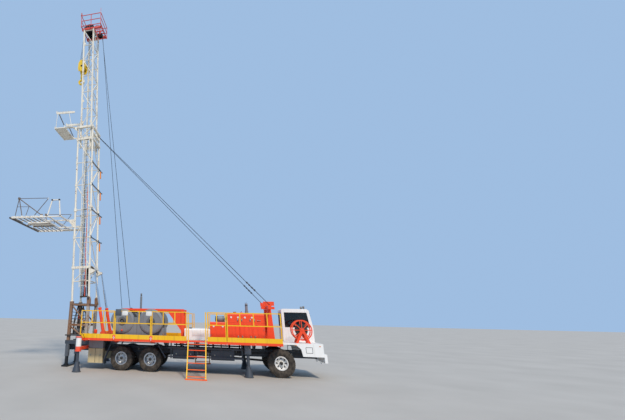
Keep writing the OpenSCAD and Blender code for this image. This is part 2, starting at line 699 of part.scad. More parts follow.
module drawworks() {
    color("#7d858c") placed() {
        difference() {
            union() {
                both_sides() plate([[drum_x - 480, deck_z], [drum_x - 480, drum_z - 200], [drum_x - 200, drum_z + 200],
                    [drum_x + 250, drum_z + 200], [drum_x + drum_gap - 250, drum_z + 200], [drum_x + drum_gap + 200, drum_z + 200],
                    [drum_x + drum_gap + 560, drum_z - 200], [drum_x + drum_gap + 560, deck_z]], cheek_y, cheek_y + cheek_t);
                both_sides() for (x = [drum_x, drum_x + drum_gap]) crossbar([x, cheek_y + 30, drum_z], shaft_r + 70, 90);
                block([drum_x + drum_gap / 2 - 60, -cheek_y, deck_z], [drum_x + drum_gap / 2 + 60, cheek_y, deck_z + 500]);
                block([drum_x + drum_gap + 480, -cheek_y, deck_z], [drum_x + drum_gap + 560, cheek_y, deck_z + 500]);
            }
            for (x = [drum_x, drum_x + drum_gap]) crossbar([x, 0, drum_z], shaft_r + fit, 3000);
        }
        both_sides() difference() {
            union() {
                for (x = [drum_x, drum_x + drum_gap]) cover([x, cover_y[0], drum_z]);
                block([drum_x, cover_y[0], deck_z], [drum_x + drum_gap, cover_y[1] - 60, drum_z]);
            }
            for (x = [drum_x, drum_x + drum_gap]) crossbar([x, 0, drum_z], shaft_r + 40, 3000);
        }
        both_sides() for (x = [drum_x - 300, drum_x + 380, drum_x + drum_gap + 300])
            block([x - 40, cheek_y + cheek_t, deck_z + 60], [x + 40, cover_y[0], deck_z + 160]);
    }
}

module cover(at) {
    translate(at) rotate([-90, 0, 0]) rotate_extrude() polygon([[0, 0], [cover_r, 0], [cover_r, cover_y[1] - cover_y[0] - 50],
        [cover_r - 30, cover_y[1] - cover_y[0] - 20], [cover_r - 90, cover_y[1] - cover_y[0]], [0, cover_y[1] - cover_y[0]]]);
}

module drum(x, r, half) {
    placed() translate([x, 0, drum_z]) rotate([90, 0, 0]) {
        cylinder(r = shaft_r, h = 2 * (cover_y[1] - 30), center = true);
        cylinder(r = r, h = 2 * half, center = true);
        for (s = [-1, 1]) translate([0, 0, s * (half + 20)]) cylinder(r = flange_r, h = 40, center = true);
        for (s = [-1, 1]) translate([0, 0, s * (half + 120)]) cylinder(r = flange_r - 30, h = 160, center = true);
    }
}

module main_drum() { color("#5a6066") drum(drum_x, barrel_r, drum_half); }
module sand_drum() { color("#5a6066") drum(drum_x + drum_gap, barrel_r - 60, drum_half - 20); }

gantry_y = [690, 750];
gantry_front = 3070;

module gantry() {
    color("#e5533d") placed() {
        both_sides() {
            block([-200, gantry_y[0], beam_z], [gantry_front, gantry_y[1], beam_z + 100]);
            block([gantry_front - 150, gantry_y[0], deck_z], [gantry_front, gantry_y[1], beam_z]);
            plate([[2210, beam_z], [gantry_front - 150, beam_z], [gantry_front - 150, 1900]], gantry_y[0] + 20, gantry_y[1] - 20);
            for (x = [drum_x - 60, drum_x + drum_gap - 60]) block([x, cheek_y, drum_z + 200], [x + 120, cheek_y + cheek_t, beam_z]);
        }
        block([gantry_front - 150, -gantry_y[0], beam_z], [gantry_front - 50, gantry_y[0], beam_z + 100]);
    }
}

/* Power pack on the deck */

hood = [5200, 7000];
hood_half = 1000;
hood_top = 2800;
box_x = [4390, 5160];
box_top = 2360;
tank_x = [3120, 4380];
tank_top = 2020;
hood_grille_half = 760;

function hood_outline(half, top, edge, base) = [[-half, base], [-half, top - edge], [-half + edge, top], [half - edge, top],
    [half, top - edge], [half, base]];

module engine_hood() {
    color("#f0452a") placed() {
        difference() {
            rib(hood_outline(hood_half, hood_top, 90, deck_z), hood[0], hood[1]);
            rib(hood_outline(hood_half - wall, hood_top - wall, 80, deck_z - 1), hood[0] + wall, hood[1] - wall);
            both_sides() for (i = [0 : 5]) block([5500 + i * 210, hood_half - 15, 1750], [5620 + i * 210, hood_half + 1, 2250]);
        }
        for (i = [0 : 10]) block([hood[1] - 1, -hood_grille_half, 1640 + i * 95], [hood[1] + 18, hood_grille_half, 1690 + i * 95]);
        both_sides() block([hood[1] - 1, hood_grille_half, 1610], [hood[1] + 25, hood_grille_half + 40, 2700]);
        upright([hood[0] + 420, -650, hood_top - 5], 75, 60);
        for (y = [-500, 500]) block([hood[0] + 700, y - 30, hood_top - 5], [hood[0] + 820, y + 30, hood_top + 45]);
        rib(hood_outline(hood_half, box_top, 50, deck_z), box_x[0], box_x[1]);
    }
}

module engine_block() {
    color("#6b6f73") placed() block([hood[0] + 250, -480, deck_z], [hood[1] - 250, 480, deck_z + 1000]);
}

module deck_tank() {
    color("#e9ebe8") placed() rib(hood_outline(hood_half, tank_top, 60, deck_z), tank_x[0], tank_x[1]);
}

module air_cleaner() {
    color("#8f979d") placed() {
        translate([4690, -700, box_top + 150]) rotate([0, 90, 0]) cylinder(r = 140, h = 420);
        for (x = [4740, 5010]) block([x, -790, box_top], [x + 50, -610, box_top + 60]);
        upright([400, 1090, deck_z], 60, 2150);
        upright([400, 1090, deck_z + 2150], 45, 200);
        upright([6300, 700, hood_top], 90, 160);
        upright([6300, 700, hood_top + 160], 70, 380);
    }
}

/* Mast support and reel at the front */

support_x = 7290;
support_top = pivot_z - lower_leg_r - clear;

module front_stands() {
    color("#d8432f") placed() {
        reel_stand();
        both_sides() {
            plate([[support_x - 190, deck_z], [support_x + 190, deck_z], [support_x + 90, 3050], [support_x - 90, 3050]], 560, 680);
            block([support_x - 260, lower_half - 60, 3190], [support_x + 260, lower_half + 60, support_top]);
            block([support_x - 230, 520, deck_z], [support_x + 230, 720, deck_z + 30]);
        }
        block([support_x - 80, -1030, 3010], [support_x + 80, 1030, 3190]);
        both_sides() block([stay_low[0] + shackle_r + seat, stay_low[1] - 15, 3150], [support_x + 60, stay_low[1] + 15, stay_low[2] + 40]);
        block([support_x - 300, -130, 3040], [support_x + 350, 130, 3160]);
        block([support_x - 60, -560, 2100], [support_x + 60, 560, 2220]);
        both_sides() strut([support_x, 560, 1560], [support_x, -560, 2110], 35);
    }
}

reel_at = [8680, -800, 2080];
reel_r = 465;
reel_half = 190;
reel_shaft_r = 30;

module reel_stand() {
    difference() {
        for (s = [-1, 1]) {
            y = reel_at[1] + s * (reel_half + 55);
            plate([[reel_at[0] - 330, deck_z], [reel_at[0] - 230, deck_z], [reel_at[0], reel_at[2] - 120],
                [reel_at[0] + 230, deck_z], [reel_at[0] + 330, deck_z], [reel_at[0] + 60, reel_at[2] + 60],
                [reel_at[0] - 60, reel_at[2] + 60]], y - 20, y + 20);
        }
        crossbar(reel_at, reel_shaft_r + fit, 900);
    }
}

module reel() {
    color("#d8432f") placed() translate(reel_at) rotate([90, 0, 0]) {
        cylinder(r = reel_shaft_r, h = 2 * reel_half + 190, center = true);
        cylinder(r = 110, h = 2 * reel_half, center = true);
        for (s = [-1, 1]) translate([0, 0, s * (reel_half - 15)]) {
            difference() {
                cylinder(r = reel_r, h = 30, center = true);
                cylinder(r = reel_r - 45, h = 40, center = true);
            }
            for (a = [0 : 45 : 315]) rotate([0, 0, a]) block([90, -15, -15], [reel_r - 30, 15, 15]);
        }
    }
}

/* Mast base and jacks */

post_half = 75;
rear_post_x = mast_point(-lower_d, 0, 0)[0];
post_top = pivot_z - 260;
ear_t = 35;
foot_t = 60;

head_half = post_half + 14;

module mast_base() {
    color("#7a5a42") placed() {
        both_sides() {
            block([pivot_x - post_half, lower_half - post_half, rail_top + 180], [pivot_x + post_half, lower_half + post_half, post_top]);
            block([rear_post_x - post_half, lower_half - post_half, rail_top + 180], [rear_post_x + post_half, lower_half + post_half, post_top]);
            for (z = [2000, post_top - 130])
                block([rear_post_x, lower_half - 55, z], [pivot_x, lower_half + 55, z + 110]);
            strut([pivot_x, lower_half, rail_top + 250], [rear_post_x, lower_half, 2000], 40);
            strut([pivot_x, lower_half, 2080], [rear_post_x, lower_half, post_top - 80], 40);
            on_mast() difference() {
                for (s = [-1, 1]) translate([0, lower_half + s * (foot_t / 2 + ear_t / 2 + fork_gap), 0]) {
                    rotate([90, 0, 0]) cylinder(r = 95, h = ear_t, center = true);
                    block([-95, -ear_t / 2, -230], [95, ear_t / 2, 0]);
                }
            }
            on_mast() crossbar([0, lower_half, 0], pin_r, foot_t + 2 * ear_t + 2 * fork_gap + 40);
            on_mast() block([-head_half, lower_half - head_half, -300], [head_half, lower_half + head_half, -200]);
            on_mast() block([-lower_d - head_half, lower_half - head_half, -300], [-lower_d + head_half, lower_half + head_half, -120]);
        }
        block([rear_post_x - 55, -lower_half, 1500], [rear_post_x + 55, lower_half, 1610]);
        for (x = [rear_post_x, pivot_x]) block([x - 55, -lower_half, post_top - 130], [x + 55, lower_half, post_top - 20]);
        strut([pivot_x, -lower_half, 1500], [pivot_x, lower_half, 2900], 40);
        for (s = [-1, 1]) ram_bracket(s);
    }
}

module ram_bracket(s) {
    for (o = [-1, 1]) {
        y = s * ram_y + o * (ram_r + clear + 20);
        plate([[ram_x - 230, deck_z], [ram_x + 230, deck_z], [ram_x + 150, ram_z], [ram_x - 150, ram_z]], y - 20, y + 20);
        translate([ram_x, y, ram_z]) rotate([90, 0, 0]) cylinder(r = 150, h = 40, center = true);
    }
    crossbar([ram_x, s * ram_y, ram_z], pin_r, 2 * (ram_r + clear + 40));
}

module jack_housings() {
    color("#e8e6e0") placed() both_sides() {
        difference() {
            union() {
                upright([rear_jack_x, rear_jack_y, 900], 130, 680);
                upright([rear_jack_x, rear_jack_y, 900], 150, 60);
                upright([rear_jack_x, rear_jack_y, 1520], 150, 60);
                block([rear_jack_x - 110, rail_y + rail_w / 2, 960], [rear_jack_x + 110, rear_jack_y, 1090]);
            }
            upright([rear_jack_x, rear_jack_y, 800], jack_r + fit, 700);
        }
        difference() {
            union() {
                block([front_jack_x - 140, front_jack_y - 130, rail_top - 120], [front_jack_x + 140, front_jack_y + 130, deck_z - deck_t - 10]);
                block([front_jack_x - 80, rail_y + rail_w / 2, rail_top - 120], [front_jack_x + 80, front_jack_y - 100, rail_top]);
            }
            upright([front_jack_x, front_jack_y, 900], jack_r + fit, 520);
        }
    }
    color("#7a5a42") placed() both_sides() difference() {
        upright([rear_post_x, lower_half, 500], 120, rail_top - 500);
        upright([rear_post_x, lower_half, 400], jack_r + 20 + fit, 640);
    }
}

// A jack's leg with its cone-shaped foot
module jack_leg(x, y, foot_h, top) {
    placed() translate([x, y, 0]) {
        cylinder(r = 210, h = 40);
        translate([0, 0, 40]) cylinder(r1 = 190, r2 = jack_r + 15, h = foot_h - 40);
        cylinder(r = jack_r, h = top);
    }
}

module rear_jack_left() { color("#39414c") jack_leg(rear_jack_x, rear_jack_y, 440, 1100); }
module rear_jack_right() { color("#39414c") jack_leg(rear_jack_x, -rear_jack_y, 440, 1100); }
module front_jack_left() { color("#39414c") jack_leg(front_jack_x, front_jack_y, 460, 1160); }
module front_jack_right() { color("#39414c") jack_leg(front_jack_x, -front_jack_y, 460, 1160); }

module mast_foot() {
    color("#4a4540") placed() {
        both_sides() upright([rear_post_x, lower_half, 0], jack_r + 20, 700);
        both_sides() upright([rear_post_x, lower_half, 60], 140, 60);
        block([rear_post_x - 160, -850, 0], [rear_post_x + 160, 850, 80]);
    }
}

/* Mast */

front_u = 0;
back_u = -lower_d;
gap_u = (lower_d - upper_d) / 2;
lamp_r = 42;
lamp_len = 480;

// Side and front bracing between the levels of a section, on three faces; the rear face is open
module lattice(levels, u0, u1, half, r, zigzag) {
    for (i = [0 : len(levels) - 1]) {
        w = levels[i];
        for (s = [-1, 1]) strut([u0, s * half, w], [u1, s * half, w], r);
        strut([u1, -half, w], [u1, half, w], r);
        if (i < len(levels) - 1) {
            w2 = levels[i + 1];
            up = (i + zigzag) % 2 == 0;
            for (s = [-1, 1]) strut([up ? u0 : u1, s * half, w], [up ? u1 : u0, s * half, w2], r * 0.9);
            strut([u1, up ? -half : half, w], [u1, up ? half : -half, w2], r * 0.9);
        }
    }
}

knuckle_r = 92;
ladder_u = [-160, -560];
ladder_gap = 80;
ladder_foot = 600;
rung_pitch = 300;
eye_u = eye_x * cos(lean) + eye_z * sin(lean);
eye_w = eye_z * cos(lean) - eye_x * sin(lean);
hinge_z = board_z - 30;
hinge_x = leg_x(back_u, hinge_z) - 407;
hinge_pin_r = 20;
hinge_y = 780;
rod_board_z = round(mast_point(back_u, 0, lower_len)[2]) - rod_board_drop;
rod_hinge_z = rod_board_z - 30;
rod_hinge_x = leg_x(back_u, rod_hinge_z) - 282;

module mast_lower() {
    color("#e6e2d6") placed() {
        on_mast() {
            both_sides() {
                upright([front_u, lower_half, 112], lower_leg_r, lower_len - 112);
                upright([back_u, lower_half, -60], lower_leg_r, lower_len + 60);
                upright([back_u, lower_half, -120 + seat], 80, 60);
                difference() {
                    union() {
                        crossbar([0, lower_half, 0], 90, foot_t);
                        block([-57, lower_half - foot_t / 2, 0], [57, lower_half + foot_t / 2, 150]);
                    }
                    crossbar([0, lower_half, 0], pin_r + fit, 3 * foot_t);
                }
                for (o = [-1, 1]) plate([[front_u, eye_w - 180], [eye_u - 20, eye_w - 60], [eye_u + 55, eye_w - 40],
                    [eye_u + 55, eye_w + 40], [eye_u - 20, eye_w + 60], [front_u, eye_w + 180]],
                    ram_y + o * 60 - 12, ram_y + o * 60 + 12);
            }
            lattice(lower_levels, back_u, front_u, lower_half, brace_r, 0);
            for (w = [1650, lower_len - 1000, lower_len - 130]) {
                both_sides() block([back_u - 75, lower_half - 45, w], [front_u + 75, lower_half + 75, w + 130]);
                block([front_u - 45, -lower_half, w], [front_u + 75, lower_half, w + 130]);
            }
            block([front_u - 40, -lower_half, stay_top[2] - 45], [front_u + 60, lower_half, stay_top[2] + 45]);
            both_sides() block([front_u, stay_top[1] - 15, stay_top[2] - 45], [stay_top[0] - shackle_r - seat, stay_top[1] + 15, stay_top[2] + 45]);
            both_sides() for (u = [back_u + gap_u, front_u - gap_u])
                for (w = [lower_len - 1000, lower_len - 130])
                    block([u - 60, upper_half + upper_leg / 2 + 0.5, w], [u + 60, lower_half, w + 130]);
            both_sides() upright([back_u, lower_half, lower_levels[3] - 90], knuckle_r, 180);
            both_sides() upright([front_u, lower_half, lower_levels[3] + 85], knuckle_r, 140);
            mast_ladder();
        }
        both_sides() board_bracket(hinge_x, hinge_z);
        both_sides() rod_bracket();
    }
}

// Ladder up the right face, between the first levels and the last one
module mast_ladder() {
    y = -lower_half - ladder_gap;
    top = lower_len - 950;
    rung_count = floor((top - ladder_foot - 100) / rung_pitch);
    for (i = [0 : rung_count]) strut([ladder_u[0], y, ladder_foot + 100 + i * rung_pitch], [ladder_u[1], y, ladder_foot + 100 + i * rung_pitch], 12);
    for (u = ladder_u) {
        strut([u, y, ladder_foot], [u, y, top], 20);
        for (w = lower_levels) if (w < top) strut([u, -lower_half, w], [u, y, w], 14);
    }
}

// Arm on a rear leg that carries a board's hinge pin
module board_bracket(x, z) {
    leg = leg_x(back_u, z);
    plate([[x - 60, z - 60], [x + 60, z - 60], [leg, z - 420], [leg, z + 60], [x - 60, z + 60]], hinge_y - 90, hinge_y - 60);
    for (low = [z - 420, z - 20]) block([leg - 40, lower_half, low], [leg + 40, hinge_y - 60, low + 60]);
    crossbar([x, hinge_y - 40, z], hinge_pin_r, 100);
}

module rod_bracket() {
    leg = leg_x(back_u, rod_hinge_z);
    plate([[rod_hinge_x - 45, rod_hinge_z - 45], [leg, rod_hinge_z - 300], [leg, rod_hinge_z + 40],
        [rod_hinge_x - 45, rod_hinge_z + 45]], lower_half + 5, lower_half + 30);
    crossbar([rod_hinge_x, lower_half + 45, rod_hinge_z], hinge_pin_r, 80);
}

module rope_guides() {
    color("#2e3236") placed() on_mast() for (i = [2 : 5]) {
        plate_guide(lower_levels[i]);
        mast_lamp(lower_levels[i]);
    }
}

module plate_guide(w) {
    u = front_u + lower_leg_r + seat;
    block([u, -lower_half - 40, w - 55], [u + 35, 1150, w - 15]);
    block([u, 1090, w - 55], [u + 35, 1150, w + 25]);
    for (s = [-1, 1]) block([u, s * lower_half - 60, w - 70], [u + 10, s * lower_half + 60, w + 70]);
}

// Tube lamp that hangs from a guide at the left front leg
module mast_lamp(w) {
    u = front_u + lower_leg_r + 45;
    block([u - 15, 700, w - 130], [u + 15, 740, w - 15]);
    upright([u, 720, w - 130 - lamp_len], lamp_r, lamp_len);
}

module mast_upper() {
    color("#e6e2d6") placed() on_mast() {
        u0 = back_u + gap_u;
        u1 = front_u - gap_u;
        h = upper_leg / 2;
        both_sides() for (u = [u0, u1])
            block([u - h, upper_half - h, upper_foot], [u + h, upper_half + h, crown_w]);
        translate([0, 0, upper_foot]) lattice(upper_levels, u0, u1, upper_half - 10, brace_r - 4, 1);
    }
}

crown_half = 700;
crown_u = [-1020, 480];

module crown_frame() {
    top = 1150;
    color("#e06a62") placed() on_mast() translate([0, 0, crown_w]) {
        both_sides() {
            block([crown_u[0], upper_half - 100, 0], [crown_u[1], upper_half + 20, 140]);
            block([crown_u[0], crown_half - 20, 140], [crown_u[1], crown_half + 20, 170]);
            for (u = [crown_u[0] + 20, (crown_u[0] + crown_u[1]) / 2, crown_u[1] - 20])
                block([u - 18, crown_half - 18, 140], [u + 18, crown_half + 18, top]);
            for (w = [650, top]) block([crown_u[0], crown_half - 18, w - 36], [crown_u[1], crown_half + 18, w]);
            difference() {
                plate([[crown_sheave[0] - 150, 140], [crown_sheave[0] - 90, crown_sheave[1] + 90], [crown_sheave[0] + 90, crown_sheave[1] + 90],
                    [crown_sheave[0] + 150, 140]], 400, 430);
                crossbar([crown_sheave[0], 0, crown_sheave[1]], 45 + fit, 2000);
            }
            for (u = guy_lug_u) difference() {
                block([u - 45, guy_lug_y - guy_t / 2, guy_lug_w - 40], [u + 45, guy_lug_y + guy_t / 2, 0]);
                crossbar([u, guy_lug_y, guy_lug_w], guy_r, 200);
            }
            difference() {
                plate([[line_sheave_at[0] - 80, 0], [line_sheave_at[0] - 60, line_sheave_at[1] - 60], [line_sheave_at[0] + 60, line_sheave_at[1] - 60],
                    [line_sheave_at[0] + 80, 0]], 110, 130);
                crossbar([line_sheave_at[0], 0, line_sheave_at[1]], 30 + fit, 2000);
            }
        }
        for (u = [crown_u[0], crown_u[1] - 75]) block([u, -crown_half - 20, 100], [u + 75, crown_half + 20, 140]);
        block([-200, -upper_half, 60], [-120, upper_half, 140]);
        for (u = [crown_u[0], crown_u[1] - 36]) for (w = [650, top])
            block([u, -crown_half, w - 36], [u + 36, crown_half, w]);
        both_sides() block([-200, 105, 0], [crown_u[1], 135, 100]);
        translate([hoop_u, crown_half, top - 18]) {
            for (s = [-1, 1]) upright([s * hoop_r, 0, -500], 22, 500 + hoop_rise);
            translate([0, 0, hoop_rise]) rotate([90, 0, 0]) rotate_extrude(angle = 180) translate([hoop_r, 0]) circle(r = 22);
        }
        upright([crown_u[0] + 20, -crown_half, top - 10], 55, 60);
        upright([crown_u[0] + 20, -crown_half, top + 50], 42, 190);
        upright([crown_u[1] - 20, -crown_half, top - 10], 12, 420);
    }
}

// Hoop over the far rail, where the climber steps in
hoop_u = -300;
hoop_r = 190;
hoop_rise = 250;

groove = 45;
groove_half = 18;
crown_sheave = [-560, 330];
guy_lug_u = [-965, 425];
guy_lug_y = 500;
guy_lug_w = -45;
line_sheave_at = [200, -250];

module crown_sheaves() {
    color("#3c4046") placed() on_mast() translate([crown_sheave[0], 0, crown_w + crown_sheave[1]]) rotate([90, 0, 0]) {
        cylinder(r = 45, h = 900, center = true);
        for (y = [-240, -80, 80, 240]) translate([0, 0, y]) sheave(sheave_r, 70, 45);
    }
}

module sheave(r, w, bore) {
    rotate_extrude() polygon([[bore - 5, -w / 2], [r, -w / 2], [r, -w / 2 + 6], [r - groove, -groove_half], [r - groove, groove_half], [r, w / 2 - 6], [r, w / 2], [bore - 5, w / 2]]);
}

module line_sheave() {
    color("#3c4046") placed() on_mast() translate([line_sheave_at[0], 0, crown_w + line_sheave_at[1]]) rotate([90, 0, 0]) {
        cylinder(r = 30, h = 300, center = true);
        for (y = [-55, 55]) translate([0, 0, y]) sheave(190, 60, 30);
    }
}

block_sheave_r = 235;
block_pitch = 125;
block_mid = block_z + block_h - 520;

module travelling_block() {
    d = 265;
    z1 = block_z + block_h;
    mid = block_mid;
    color("#f2d21a") placed() translate([line_x, 0, 0]) {
        both_sides() {
            plate([[-d + 60, mid - 420], [-d, mid - 200], [-d, mid + 250], [-150, z1], [150, z1], [d, mid + 250], [d, mid - 200], [d - 60, mid - 420]],
                block_half - 40, block_half);
        }
        for (y = [-block_pitch, 0, block_pitch]) translate([0, y, mid]) rotate([90, 0, 0]) sheave(block_sheave_r, 60, 50);
        crossbar([0, 0, mid], 50, 2 * block_half + 40);
        block([-120, -block_half, mid - 420], [120, block_half, mid - 330]);
        crossbar([0, 0, z1 - 60], 40, 2 * block_half);
        upright([0, 0, block_z + 560], 90, mid - 420 - block_z - 560);
        upright([0, 0, block_z + 420], 45, 160);
        hook();
    }
}

module hook() {
    translate([0, 0, block_z + 210]) rotate([90, 0, 0]) difference() {
        cylinder(r = 210, h = 110, center = true);
        cylinder(r = 110, h = 130, center = true);
        translate([60, 40, -100]) cube([200, 80, 200]);
    }
    block([-50, -45, block_z + 330], [50, 45, block_z + 470]);
}

/* Boards */

module tubing_board() {
    x0 = -board_rear;
    x1 = hinge_x;
    b = board_half;
    low = board_z - board_t;
    color("#ecebe5") placed() {
        difference() {
            union() {
                both_sides() {
                    block([x0, b - 80, low], [x1 + 50, b, board_z]);
                    block([dive_x[1] - 60, 760, low], [x1 + 60, 830, board_z]);
                    block([x1 - 60, 760, low], [x1 + 20, b, board_z]);
                    for (i = [0 : finger_count - 1]) finger(x0 + 240 + i * finger_pitch);
                }
                block([x0, -b, low - 20], [x0 + 90, b, board_z]);
                block([dive_x[1] - 60, -b, low], [dive_x[1], b, board_z]);
                crossbar([cross_tube_x, 0, board_z - 20], 45, 2 * b - 40);
            }
            crossbar([hinge_x, 0, hinge_z], hinge_pin_r + fit, 4000);
        }
        diving_board();
        block([dive_x[1] - 30, b - 330, board_z - 25], [x1 - 40, b - 70, board_z]);
        both_sides() board_rail(x0, x1);
    }
}

// One slat that keeps two stands of tubing apart
module finger(x) {
    block([x - 30, finger_y, board_z - 55], [x + 30, board_half - 70, board_z - 5]);
    block([x - 30, finger_y, board_z - 6], [x + 30, finger_y + 35, board_z + 55]);
    block([x - 95, board_half - 90, board_z - 75], [x + 95, board_half + 12, board_z + 35]);
}

// Narrow walkway out between the fingers
module diving_board() {
    block([dive_x[0], -dive_half, board_z - 30], [dive_x[1] - 50, dive_half, board_z]);
    both_sides() block([dive_x[0], dive_half - 40, board_z - 90], [dive_x[1] - 50, dive_half, board_z + 60]);
    block([-board_rear + 80, -40, board_z - 70], [dive_x[0] + 20, 40, board_z - 20]);
}

// Rail of one side: leaning end post, top and middle rail, braces and the hoop next to the mast
module board_rail(x0, x1) {
    y = board_half - 24;
    corner = [x0 + 450, y, board_z + board_rail_h];
    meet = [hoop_foot[0] - 40, y, board_z + board_rail_h - 40];
    strut([x0 + 340, y, board_z - 10], corner, 20);
    strut(corner, meet, 18);
    strut([x0 + 395, y, board_z + 620], [x0 + 1150, y, board_z + 600], 14);
    strut(corner, [x0 + 800, y, board_z - 10], 26);
    strut(corner, [x0 + 2000, y, board_z + 60], 26);
    strut(meet, [x0 + 1500, y, board_z - 10], 20);
    strut([x0 + 1000, y, board_z - 10], [x0 + 1150, y, board_z + 610], 16);
    block(corner - [60, 42, 55], corner + [60, 42, 60]);
    block([x0 + 1920, y - 20, board_z - 10], [x0 + 2080, y + 18, board_z + 130]);
    hoop_top = board_z + 960;
    strut([hoop_foot[0], y, board_z - 10], [hoop_foot[0] + 200, y, hoop_top], 36, 12);
    strut([hoop_foot[1], y, board_z - 10], [hoop_foot[1] - 150, y, hoop_top], 36, 12);
    strut([hoop_foot[0] + 200, y, hoop_top], [hoop_foot[1] - 150, y, hoop_top], 34, 12);
    for (x = [hoop_foot[0] + 200, hoop_foot[1] - 150]) crossbar([x, y, hoop_top], 46, 76);
}

board_t = 60;
board_rail_h = 1130;
// Diving board: its rear and front end, and half its width
dive_x = [-6570, -5060];
dive_half = 340;
finger_pitch = 290;
finger_count = 6;
finger_y = 620;
cross_tube_x = -4580;
hoop_foot = [-4640, -3860];

module rod_board() {
    x0 = rod_hinge_x - rod_board_len;
    x1 = rod_hinge_x;
    b = rod_board_half;
    t = 60;
    low = rod_board_z - t;
    beam = rod_board_z + rod_beam_h;
    color("#dcdcd6") placed() {
        difference() {
            both_sides() block([x0, lower_half + 40, low], [x1 + 60, lower_half + 100, rod_board_z]);
            crossbar([rod_hinge_x, 0, rod_hinge_z], hinge_pin_r + fit, 4000);
        }
        both_sides() {
            block([x0, b - 46, beam - 130], [x1 - 20, b, beam]);
            for (i = [0 : 5]) block([x0 + 90 + i * 170, b - 46, beam - 1], [x0 + 130 + i * 170, b, beam + 45]);
            block([x0 - 40, b - 42, beam - 60], [x0 + 15, b - 10, beam + 110]);
            strut([x0 + 160, b - 22, beam - 100], [x0 + 700, b - 22, rod_board_z - 20], 22);
            strut([x0 + 60, b - 22, beam - 100], [x0 + 60, b - 22, rod_board_z - 20], 16);
            strut([x1 - 420, b - 22, beam - 100], [x1 - 120, b - 22, rod_board_z - 20], 16);
            block([x0, lower_half + 90, rod_board_z - 30], [x1 - 40, b, rod_board_z]);
        }
        block([x0, -b, low], [x0 + 640, b, rod_board_z]);
        block([x0 - 20, -b, low - 40], [x0 + 20, b, rod_board_z + 90]);
        block([x0 + 640, -b, low], [x0 + 700, b, rod_board_z + 20]);
    }
}

rod_beam_h = 1150;

/* Raising cylinders */

ram_vec = [pivot_x + eye_x - ram_x, 0, pivot_z + eye_z - ram_z];
ram_total = norm(ram_vec);
ram_tilt = atan2(ram_vec[0], ram_vec[2]);
stage_r = 62;
rod_r = 42;

module on_ram() {
    placed() both_sides() translate([ram_x, ram_y, ram_z]) rotate([0, ram_tilt, 0]) children();
}

module ram_barrels() {
    color("#f0452a") on_ram() difference() {
        union() {
            crossbar([0, 0, 0], 95, 110);
            cylinder(r = ram_r, h = ram_len);
            translate([0, 0, ram_len - 80]) cylinder(r = ram_r + 12, h = 80);
        }
        crossbar([0, 0, 0], pin_r + fit, 300);
        translate([0, 0, 140]) cylinder(r = stage_r + fit, h = ram_len);
    }
}

stage_len = ram_len - 160;
stage_out = (ram_total - ram_len) / 2 + 20;

module ram_stages() {
    color("#cfd4d8") on_ram() difference() {
        translate([0, 0, ram_len + stage_out - stage_len]) cylinder(r = stage_r, h = stage_len);
        translate([0, 0, ram_len + stage_out - stage_len + 30]) cylinder(r = rod_r + fit, h = stage_len);
    }
}

module ram_rods() {
    color("#9aa0a6") on_ram() difference() {
        union() {
            translate([0, 0, ram_total - stage_len]) cylinder(r = rod_r, h = stage_len - 40);
            crossbar([0, 0, ram_total], 70, 80);
        }
        crossbar([0, 0, ram_total], 35, 200);
    }
}

/* Stays */

stay_r = 14;
shackle_r = 24;
stay_low = [support_x - 20, 990, 3230];
stay_top = [lower_leg_r + 110, 90, lower_len - 510];
turnbuckle = [1500, 900];

module stays() {
    top = mast_point(stay_top[0], stay_top[1], stay_top[2]);
    d = (stay_low - top) / norm(stay_low - top);
    color("#2f3134") placed() both_sides() {
        strut(top, stay_low, stay_r);
        strut(stay_low - d * turnbuckle[0], stay_low - d * turnbuckle[1], 38);
        translate(stay_low) sphere(r = shackle_r);
        translate(top) sphere(r = shackle_r);
    }
}

/* Hoist lines */

rope_r = 9;

// Direction from both sheave centres to the rope that runs tangent to both on side s, in the XZ plane
function tangent(c1, r1, c2, r2, s) = let (d = c2 - c1, a = atan2(d[1], d[0]) + s * acos((r1 - r2) / norm(d))) [cos(a), sin(a)];

module hoist_lines() {
    top = mast_point(crown_sheave[0], 0, crown_w + crown_sheave[1]);
    c1 = [top[0], top[2]];
    c2 = [line_x, block_mid];
    r1 = sheave_r - groove + rope_r + seat;
    r2 = block_sheave_r - groove + rope_r + seat;
    color("#3a3d40") placed() for (i = [0 : 2]) for (s = [-1, 1]) {
        n = tangent(c1, r1, c2, r2, s);
        p = c1 + r1 * n;
        q = c2 + r2 * n;
        strut([p[0], (i - 1) * 160 + s * 80, p[1]], [q[0], (i - 1) * block_pitch, q[1]], rope_r);
    }
}

chassis_frame();
front_axle();
rear_axles();
mudguards();
side_boxes();
front_body();
cab_shell();
cab_glass();
cab_interior();
cab_door();
cab_door_glass();
deck();
walkways();
handrails();
ladders();
drawworks();
gantry();
main_drum();
sand_drum();
deck_tank();
engine_hood();
engine_block();
air_cleaner();
front_stands();
reel();
mast_base();
jack_housings();
mast_foot();
rear_jack_left();
rear_jack_right();
front_jack_left();
front_jack_right();
knuckle_left();
knuckle_right();
front_tyre_left();
front_tyre_right();
front_rim_left();
front_rim_right();
rear_tyres_left();
rear_tyres_right();
rear_rims_left();
rear_rims_right();
mid_tyres_left();
mid_tyres_right();
mid_rims_left();
mid_rims_right();
mast_lower();
rope_guides();
mast_upper();
crown_frame();
crown_sheaves();
line_sheave();
travelling_block();
tubing_board();
rod_board();
ram_barrels();
ram_stages();
ram_rods();
stays();
hoist_lines();
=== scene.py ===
"""The looks of a workover rig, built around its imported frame.

Finishes, tyres, ropes, fittings, camera and light, in metres. Where a piece follows a node of the frame, its
place comes from that node or from a joint's pin.
"""
import json
import math

import bpy
from mathutils import Matrix, Vector


